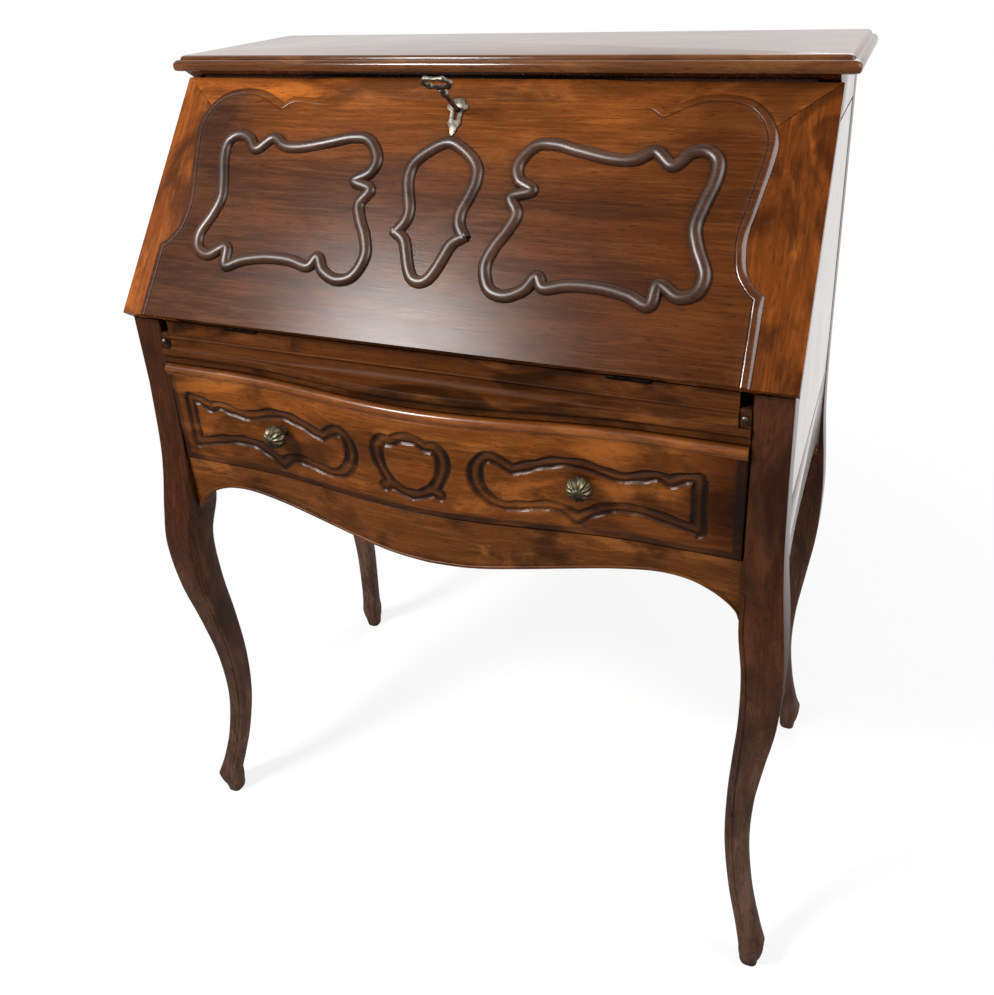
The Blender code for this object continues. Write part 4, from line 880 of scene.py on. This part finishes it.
# Rows of the crest: place up the slope, and how far its face falls back there
CREST_FACE = ((0.2660, 0.0002), (0.2700, 0.0), (0.2800, 0.0), (0.2880, 0.0), (0.2938, 0.0), (0.2946, 0.0003),
              (0.2950, 0.0010))
rings = []
for k in range(61):
    x = CREST_HALF_W * (k / 30 - 1)
    t = held((CREST_HALF_W - abs(x)) / CREST_RUN)
    rise = CREST_END + CREST_RISE * t * t * (3 - 2 * t)
    section = [(CREST_FACE[0][0], CREST_FOOT), *((up, rise - back) for up, back in CREST_FACE),
               (CREST_FACE[-1][0], CREST_FOOT)]
    rings.append([on_lid(CARVING_X + x, up, n) for up, n in section])
settle(solid("lid_crest", *loft(rings), lid_rail_wood), "lid", "walnut_warm")

# Raised field of the lid. A thin shaped board glued on the frame, with a double bead scratched along its
# wavy edge, down the sides and across the top. The right-hand edge is rubbed to the glossiest polish; the
# left edge is painted a darker, duller purple-brown as painted shade.
FIELD_HALF_W = 0.340
FIELD_SIDE = (0.0005, 0.030, 0.060, 0.086)
FIELD_EDGE = ((0.3315, 0.0918), (0.3218, 0.1060), (0.3177, 0.1250), (0.3173, 0.1430), (0.3214, 0.1650),
              (0.3263, 0.1920), (0.3305, 0.2170), (0.3314, 0.2340), (0.3272, 0.2500), (0.3186, 0.2640),
              (0.3050, 0.2755), (0.2870, 0.2810), (0.2690, 0.2820), (0.2539, 0.2800), (0.2385, 0.2740),
              (0.2210, 0.2650))
FIELD_CROWN = ((0.2210, 0.2650), (0.2090, 0.2720), (0.1850, 0.2715), (0.1500, 0.2700), (0.0, 0.2700))
FIELD_BEAD = ((0.0, -0.0037), (0.0, -0.0033), (0.0007, -0.0026), (0.0018, -0.0018), (0.0032, -0.0010),
              (0.0047, -0.0004), (0.0062, -0.0001), (0.0074, 0.0), (0.0084, -0.0003), (0.0090, -0.0010),
              (0.0095, -0.0010), (0.0101, -0.0003), (0.0110, 0.0), (0.0124, 0.0))
FIELD_MITRE = 0.6
EDGE_X = 0.285
# Along the crown the bead dies out into the crest towards the middle
CROWN_UP = 0.262
BEAD_END_X = 0.155
BEAD_END_RUN = 0.05
BEAD_LOWEST = -0.003
FIELD_TONE = (0.082, 0.0235, 0.0062)
FIELD_FADES = [(UP_SLOPE, HINGE.dot(UP_SLOPE) + 0.15, HINGE.dot(UP_SLOPE) + 0.268, (0.190, 0.052, 0.0090)),
               ((1, 0, 0), 0.16, 0.28, (0.088, 0.0245, 0.0055)),
               ((-1, 0, 0), 0.20, 0.31, (0.068, 0.0225, 0.0092))]
field_wood = wood("field_walnut", (1, 0, 0), FIELD_TONE, 0.23, flame=0.32, shine=0.12, fades=FIELD_FADES)
# Painted shade: a darker, duller purple-brown copy of the field walnut for the left edge.
shaded_edge_wood = wood("field_shaded_edge_walnut", (1, 0, 0), (0.070, 0.0270, 0.0140), 0.45, flame=0.32, shine=0.10,
                 fades=FIELD_FADES)
edge_wood = wood("field_edge_walnut", (1, 0, 0), FIELD_TONE, 0.26, flame=0.32, coat=0.55, fades=FIELD_FADES)
half = [*((FIELD_HALF_W, up) for up in FIELD_SIDE), *smooth(FIELD_EDGE, steps=5),
        *smooth(FIELD_CROWN, steps=5)[1:]]
outline = [Vector(p) for p in half] + [Vector((-x, s)) for x, s in reversed(half[:-1])]
rings = []
for inset, rise in FIELD_BEAD:
    ring = []
    for i, here in enumerate(outline):
        before = (here - outline[i - 1]).normalized() if i else Vector((0, 1))
        after = (outline[i + 1] - here).normalized() if i + 1 < len(outline) else Vector((0, -1))
        left_1, left_2 = Vector((-before.y, before.x)), Vector((-after.y, after.x))
        mean = (left_1 + left_2).normalized()
        p = here + mean * (inset / max(mean.dot(left_1), FIELD_MITRE))
        if here.y > CROWN_UP and rise > BEAD_LOWEST:
            cut = rise * held((abs(here.x) - BEAD_END_X) / BEAD_END_RUN)
        else:
            cut = rise
        ring.append(on_lid(CARVING_X + p.x, p.y, LID_T + cut))
    rings.append(ring)
made = solid("lid_field_beaded", *loft(rings), field_wood, sharp=28)
made.data.materials.append(edge_wood)
made.data.materials.append(shaded_edge_wood)
# Right-hand edge faces take the glossier walnut, left-hand ones the copy painted darker as shade.
for face in made.data.polygons:
    if len(face.vertices) == 4 and abs(face.center.x) > EDGE_X:
        face.material_index = 1 if face.center.x > 0 else 2
settle(made, "lid", "walnut", "lid_field")

# Mouldings on the field. Dark polished half-rounds carved to shape and glued on, with a tight double bend
# at each corner of the outer two and a cusp at each side of the middle one.
MOULD_X = 0.178
MOULD_LAP = 0.003
SIDE_STRANDS = (
    ((-0.0764, 0.1725), (-0.0925, 0.1830), (-0.0965, 0.2005), (-0.0815, 0.2205), (-0.0600, 0.2225),
     (-0.0341, 0.2165), (0.0000, 0.2095), (0.0230, 0.2098), (0.0410, 0.2190)),
    ((0.0600, 0.2050), (0.0740, 0.2180), (0.0890, 0.2215), (0.1015, 0.2120), (0.1020, 0.1925),
     (0.0942, 0.1642), (0.0905, 0.1440), (0.0960, 0.1240), (0.1065, 0.1000), (0.1025, 0.0825),
     (0.0865, 0.0765), (0.0662, 0.0870)),
    ((0.0608, 0.0660), (0.0400, 0.0737), (0.0100, 0.0790), (-0.0200, 0.0785), (-0.0440, 0.0735)),
    ((-0.0535, 0.0845), (-0.0640, 0.0700), (-0.0828, 0.0618), (-0.1010, 0.0680), (-0.1097, 0.0900),
     (-0.1040, 0.1110), (-0.0940, 0.1290), (-0.0880, 0.1470), (-0.0969, 0.1642)))
CENTRE_UPPER = ((0.0, 0.2208), (0.0215, 0.2105), (0.0360, 0.1953), (0.0387, 0.1790), (0.0350, 0.1625),
                (0.0295, 0.1453), (0.0305, 0.1315), (0.0385, 0.1190))
CENTRE_LOWER = ((0.0385, 0.1190), (0.0273, 0.1107), (0.0208, 0.0953), (0.0150, 0.0808), (0.0085, 0.0712),
                (0.0, 0.0680))
mould_wood = wood("moulding_walnut", (1, 0, 0), (0.054, 0.0200, 0.0096), 0.35, flame=0.5, shine=0.48)
lid_turn = Matrix(((1, 0, 0, CARVING_X), (0, UP_SLOPE.y, OUT_OF_SLOPE.y, HINGE.y),
                   (0, UP_SLOPE.z, OUT_OF_SLOPE.z, HINGE.z), (0, 0, 0, 1)))
knots = [(MOULD_X + x, up) for strand in SIDE_STRANDS for x, up in strand]
right = smooth([knots[-1], *knots, knots[0], knots[1]], steps=8)[8:-9]
upper = smooth([(-x, up) for x, up in reversed(CENTRE_UPPER)] + list(CENTRE_UPPER[1:]), steps=8)
lower = smooth(list(CENTRE_LOWER) + [(-x, up) for x, up in reversed(CENTRE_LOWER[:-1])], steps=8)


def lapped(strand):
    """The strand with both ends carried on a little, so that two strands cross where they meet."""
    first, second, *_, before, last = (Vector(p) for p in strand)
    return [first + (first - second).normalized() * MOULD_LAP, *strand,
            last + (last - before).normalized() * MOULD_LAP]


for name, strands in (("left", [[(-x, up) for x, up in right]]), ("centre", [lapped(upper), lapped(lower)]),
                      ("right", [right])):
    points, edges = strung([[(*p, LID_T) for p in strand] for strand in strands])
    if name != "centre":
        edges.append((len(points) - 1, 0))
    made = grown(f"{name}_moulding_carved", points, edges, runs,
                 {"Width": 0.0138, "Height": 0.0056, "Sweep": -math.pi, "Material": mould_wood}, lid_turn)
    settle(made, "lid", "walnut_dark", f"{name}_moulding")

# Lock of the fall front. A steel case let into the top rail, with a bolt that slides up out of it, and a
# plate of brass gone grey, sawn to scrolls round the keyhole and fixed on the field.
LOCK_EASE = 0.0005
BOLT_EASE = 0.0004
PLATE_EASE = 0.0004
steel = metal("old_steel", (0.34, 0.33, 0.31), (0.16, 0.14, 0.12), 0.42)
plain_piece("lock_case", LOCK_EASE, steel, "lid", "steel")
plain_piece("lock_bolt", BOLT_EASE, steel, "lock_bolt", "steel")
pewter = metal("grey_brass", (0.235, 0.205, 0.165), (0.105, 0.088, 0.068), 0.50)
plain_piece("escutcheon", PLATE_EASE, pewter, "lid", "brass")

# Key, left in the lock. Cast in the same grey brass, with a collar on its shank, an oval bow to hold it by
# and a flat bit inside the lock.
KEY_S = 0.258
KEY_SHAPE = ((0.0, 0.003), (0.0025, 0.003), (0.0025, 0.0470), (0.0030, 0.0474), (0.0042, 0.0490),
             (0.0042, 0.0510), (0.0030, 0.0524), (0.0026, 0.0530), (0.0026, 0.0560), (0.0036, 0.0575),
             (0.0040, 0.0590), (0.0034, 0.0605), (0.0, 0.0612))
KEY_BOW_HALF_W, KEY_BOW_HALF_H, KEY_BOW_OUT = 0.0150, 0.0090, 0.071
KEY_WIRE, KEY_LUMP, KEY_LUMP_RUN = 0.0022, 0.0011, 0.17
KEY_LUMPS = (0.0, math.pi, 0.9, math.pi - 0.9, -0.8, math.pi + 0.8)
KEY_STEPS, KEY_SIDES = 96, 10
BIT = ((0, -0.0011), (0.011, -0.0011), (0.011, 0.0011), (0, 0.0011))
BIT_SPAN = (0.0033, 0.0079)
points, faces = spun(KEY_SHAPE, on_lid(CARVING_X, KEY_S, 0), OUT_OF_SLOPE, flutes=0, around=24)
rings = []
for i in range(KEY_STEPS + 1):
    a = 2 * math.pi * i / KEY_STEPS
    out = Vector((math.cos(a), 0, math.sin(a)))
    waist = 1 - 0.16 * math.cos(2 * a) ** 2 * (out.z > 0) - 0.10 * math.exp(-(out.x / 0.25) ** 2)
    centre = Vector((KEY_BOW_HALF_W * out.x, 0, KEY_BOW_OUT + KEY_BOW_HALF_H * out.z * waist))
    lumps = sum(math.exp(-(math.remainder(a - k, 2 * math.pi) / KEY_LUMP_RUN) ** 2) for k in KEY_LUMPS)
    thick = KEY_WIRE + KEY_LUMP * lumps
    turns = [2 * math.pi * k / KEY_SIDES for k in range(KEY_SIDES)]
    rings.append([centre + thick * (math.cos(t) * out + math.sin(t) * Vector((0, 1, 0))) for t in turns])
more, tiles = loft(rings)
join(points, faces, [on_lid(CARVING_X + p.x, KEY_S + p.y, p.z) for p in more], tiles[:-2])
more, tiles = loft([[(-x, y, n) for x, y in BIT] for n in BIT_SPAN])
join(points, faces, [on_lid(CARVING_X + x, KEY_S + y, n) for x, y, n in more], tiles)
settle(solid("key_cast", points, faces, pewter), "key", "brass", "key")

# Hinges of the fall front. Cast brass leaves let in flush, coloured nearly black as painted shade so that
# the knuckles under the lid read as shadow, with steel pins and three screws in each leaf. The lock case has
# four of the same screws.
LEAF_EASE = 0.0002
SCREW_STEP = 0.0135
SCREW_IN = 0.0125
SCREW_PROUD = 0.0001
LOCK_SCREW_IN = 0.005
# Painted shade: the hinge brass is nearly black so that it reads as the shadow under the lid.
shadow_dark_brass = metal("shadow_dark_brass", (0.060, 0.045, 0.030), (0.020, 0.016, 0.012), 0.50)


def lid_span(node):
    """The lowest and highest place of a lid piece across, up the slope and out."""
    offsets = [v.co - HINGE for v in frame["nodes"][node].data.vertices]
    spans = [[o.dot(way) for o in offsets] for way in (Vector((1, 0, 0)), UP_SLOPE, OUT_OF_SLOPE)]
    return [min(span) for span in spans], [max(span) for span in spans]


case_holes, lid_holes = [], []
for word, _ in SIDES:
    for part, body, slot in (("fixed_leaf", "case", "brass"), ("lid_leaf", "lid", "brass"),
                             ("pin", "case", "steel")):
        plain_piece(f"{word}_hinge_{part}", LEAF_EASE, shadow_dark_brass, body, slot)
    case_low, case_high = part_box(f"{word}_hinge_fixed_leaf")
    lid_low, lid_high = lid_span(f"{word}_hinge_lid_leaf")
    for step in (-SCREW_STEP, 0, SCREW_STEP):
        case_holes.append(((case_low.x + case_high.x) / 2 + step, HINGE.y + SCREW_IN, HINGE.z + SCREW_PROUD))
        lid_holes.append(((lid_low[0] + lid_high[0]) / 2 + step - CARVING_X, SCREW_IN, -SCREW_PROUD))
low, high = lid_span("lock_case")
lid_holes += [(x - CARVING_X, up, low[2] - SCREW_PROUD)
              for x in (low[0] + LOCK_SCREW_IN, high[0] - LOCK_SCREW_IN)
              for up in (low[1] + LOCK_SCREW_IN, high[1] - LOCK_SCREW_IN)]
screw = {"Scale": (0.0021, 0.0021, 0.0004), "Material": iron}
settle(grown("hinge_screws", case_holes, [], heads, screw), "case", "steel")
settle(grown("lid_screws", lid_holes, [], heads, screw, lid_turn), "lid", "steel")

# Studio. A pale floor that runs into a white background, a soft lamp at the upper left in front, and
# weaker ones at the right and behind. Seen in the polish, the room is dark in front and white behind.
FLOOR_HALF = 60
FLOOR_Z = -0.0004
floor_paint, shader, place = fresh_material("studio_floor")
tree = floor_paint.node_tree
for entry, value in (("Base Color", (0.90, 0.90, 0.89)), ("Roughness", 0.9), ("Specular IOR Level", 0.0)):
    feed(shader[entry], value)
rays = tree.nodes.new("ShaderNodeLightPath").outputs
seen = Signal(tree, rays["Is Camera Ray"])
mirrored = Signal(tree, rays["Is Glossy Ray"]) + Signal(tree, rays["Is Transmission Ray"])
distance = place.node("ShaderNodeVectorMath", {"operation": "LENGTH"}, {0: place}, "Value")
depth = place.node("ShaderNodeSeparateXYZ", {}, {0: place}, "Y")
level = 1 - mirrored * (1 - depth.ramp(0.2, 0.9)) * 0.88
glow = place.node("ShaderNodeEmission", {}, {"Color": level.mix((0.0, 0.0, 0.0), (1.0, 1.0, 1.0))})
plain = Signal(tree, tree.nodes["Principled BSDF"].outputs[0])
glowing = seen * (0.78 + distance.ramp(0.6, 1.6) * 0.22) + mirrored
blend = place.node("ShaderNodeMixShader", {}, {0: glowing, 1: plain, 2: glow})
feed(tree.nodes["Material Output"].inputs["Surface"], blend)
corners = [(FLOOR_HALF * x, FLOOR_HALF * y, FLOOR_Z) for x, y in ((-1, -1), (1, -1), (1, 1), (-1, 1))]
floor = solid("studio_floor", corners, [(0, 1, 2, 3)], floor_paint)
floor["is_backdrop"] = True

world = bpy.data.worlds.new("studio")
bpy.context.scene.world = world
world.use_nodes = True
tree = world.node_tree
rays = tree.nodes.new("ShaderNodeLightPath").outputs
seen = Signal(tree, rays["Is Camera Ray"]) + Signal(tree, rays["Is Transmission Ray"])
mirrored = Signal(tree, rays["Is Glossy Ray"])
toward = Signal(tree, tree.nodes.new("ShaderNodeTexCoord").outputs["Generated"])
depth = toward.node("ShaderNodeSeparateXYZ", {}, {0: toward}, "Y")
level = seen + mirrored * (depth.ramp(-0.1, 0.5) * 0.8 + 0.2) + (1 - seen - mirrored) * 0.35
feed(tree.nodes["Background"].inputs["Color"], (1.0, 1.0, 1.0))
feed(tree.nodes["Background"].inputs["Strength"], level)

for name, place, aim, size, power in (("key_lamp", (-1.05, -1.46, 2.17), (0.0, -0.05, 0.7), 0.50, 62),
                                      ("fill_lamp", (1.95, -0.25, 2.0), (0.2, 0.0, 0.7), 1.3, 34),
                                      ("back_lamp", (0.6, 1.9, 2.3), (0.0, 0.1, 0.8), 1.4, 22)):
    data = bpy.data.lights.new(name, "AREA")
    data.size = size
    data.energy = power
    lamp = bpy.data.objects.new(name, data)
    lamp.location = place
    lamp.rotation_euler = (Vector(aim) - Vector(place)).to_track_quat("-Z", "Y").to_euler()
    bpy.context.collection.objects.link(lamp)
    lamp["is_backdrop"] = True

# Camera, where the photograph was taken from: right of the desk's middle and a little above the top board,
# looking left and down. Its focal length and optical centre are in pixels of the photograph.
PHOTO_W, PHOTO_H = 994, 995
FOCAL = 942.8
CENTRE_X, CENTRE_Y = 522.0, 373.1
SENSOR = 36.0
YAW, PITCH, TILT = 0.4069, -0.434, -0.0516
CAMERA_AT = (0.4409, -0.93578, 1.1099)
forward = Vector((-math.sin(YAW) * math.cos(PITCH), math.cos(YAW) * math.cos(PITCH), math.sin(PITCH)))
across = Vector((math.cos(YAW), math.sin(YAW), 0))
upward = across.cross(forward)
turned_across = math.cos(TILT) * across + math.sin(TILT) * upward
turned_up = math.cos(TILT) * upward - math.sin(TILT) * across
data = bpy.data.cameras.new("camera")
data.sensor_fit = "HORIZONTAL"
data.sensor_width = SENSOR
data.lens = FOCAL * SENSOR / PHOTO_W
data.shift_x = (PHOTO_W / 2 - CENTRE_X) / PHOTO_W
data.shift_y = (CENTRE_Y - PHOTO_H / 2) / PHOTO_W
camera = bpy.data.objects.new("camera", data)
camera.matrix_world = Matrix([*zip(turned_across, turned_up, -forward, CAMERA_AT), (0, 0, 0, 1)])
bpy.context.collection.objects.link(camera)
bpy.context.scene.camera = camera
bpy.context.scene.view_settings.view_transform = "Standard"

# The box of what is shown, with the backdrop and lamps left out.
low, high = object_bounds()
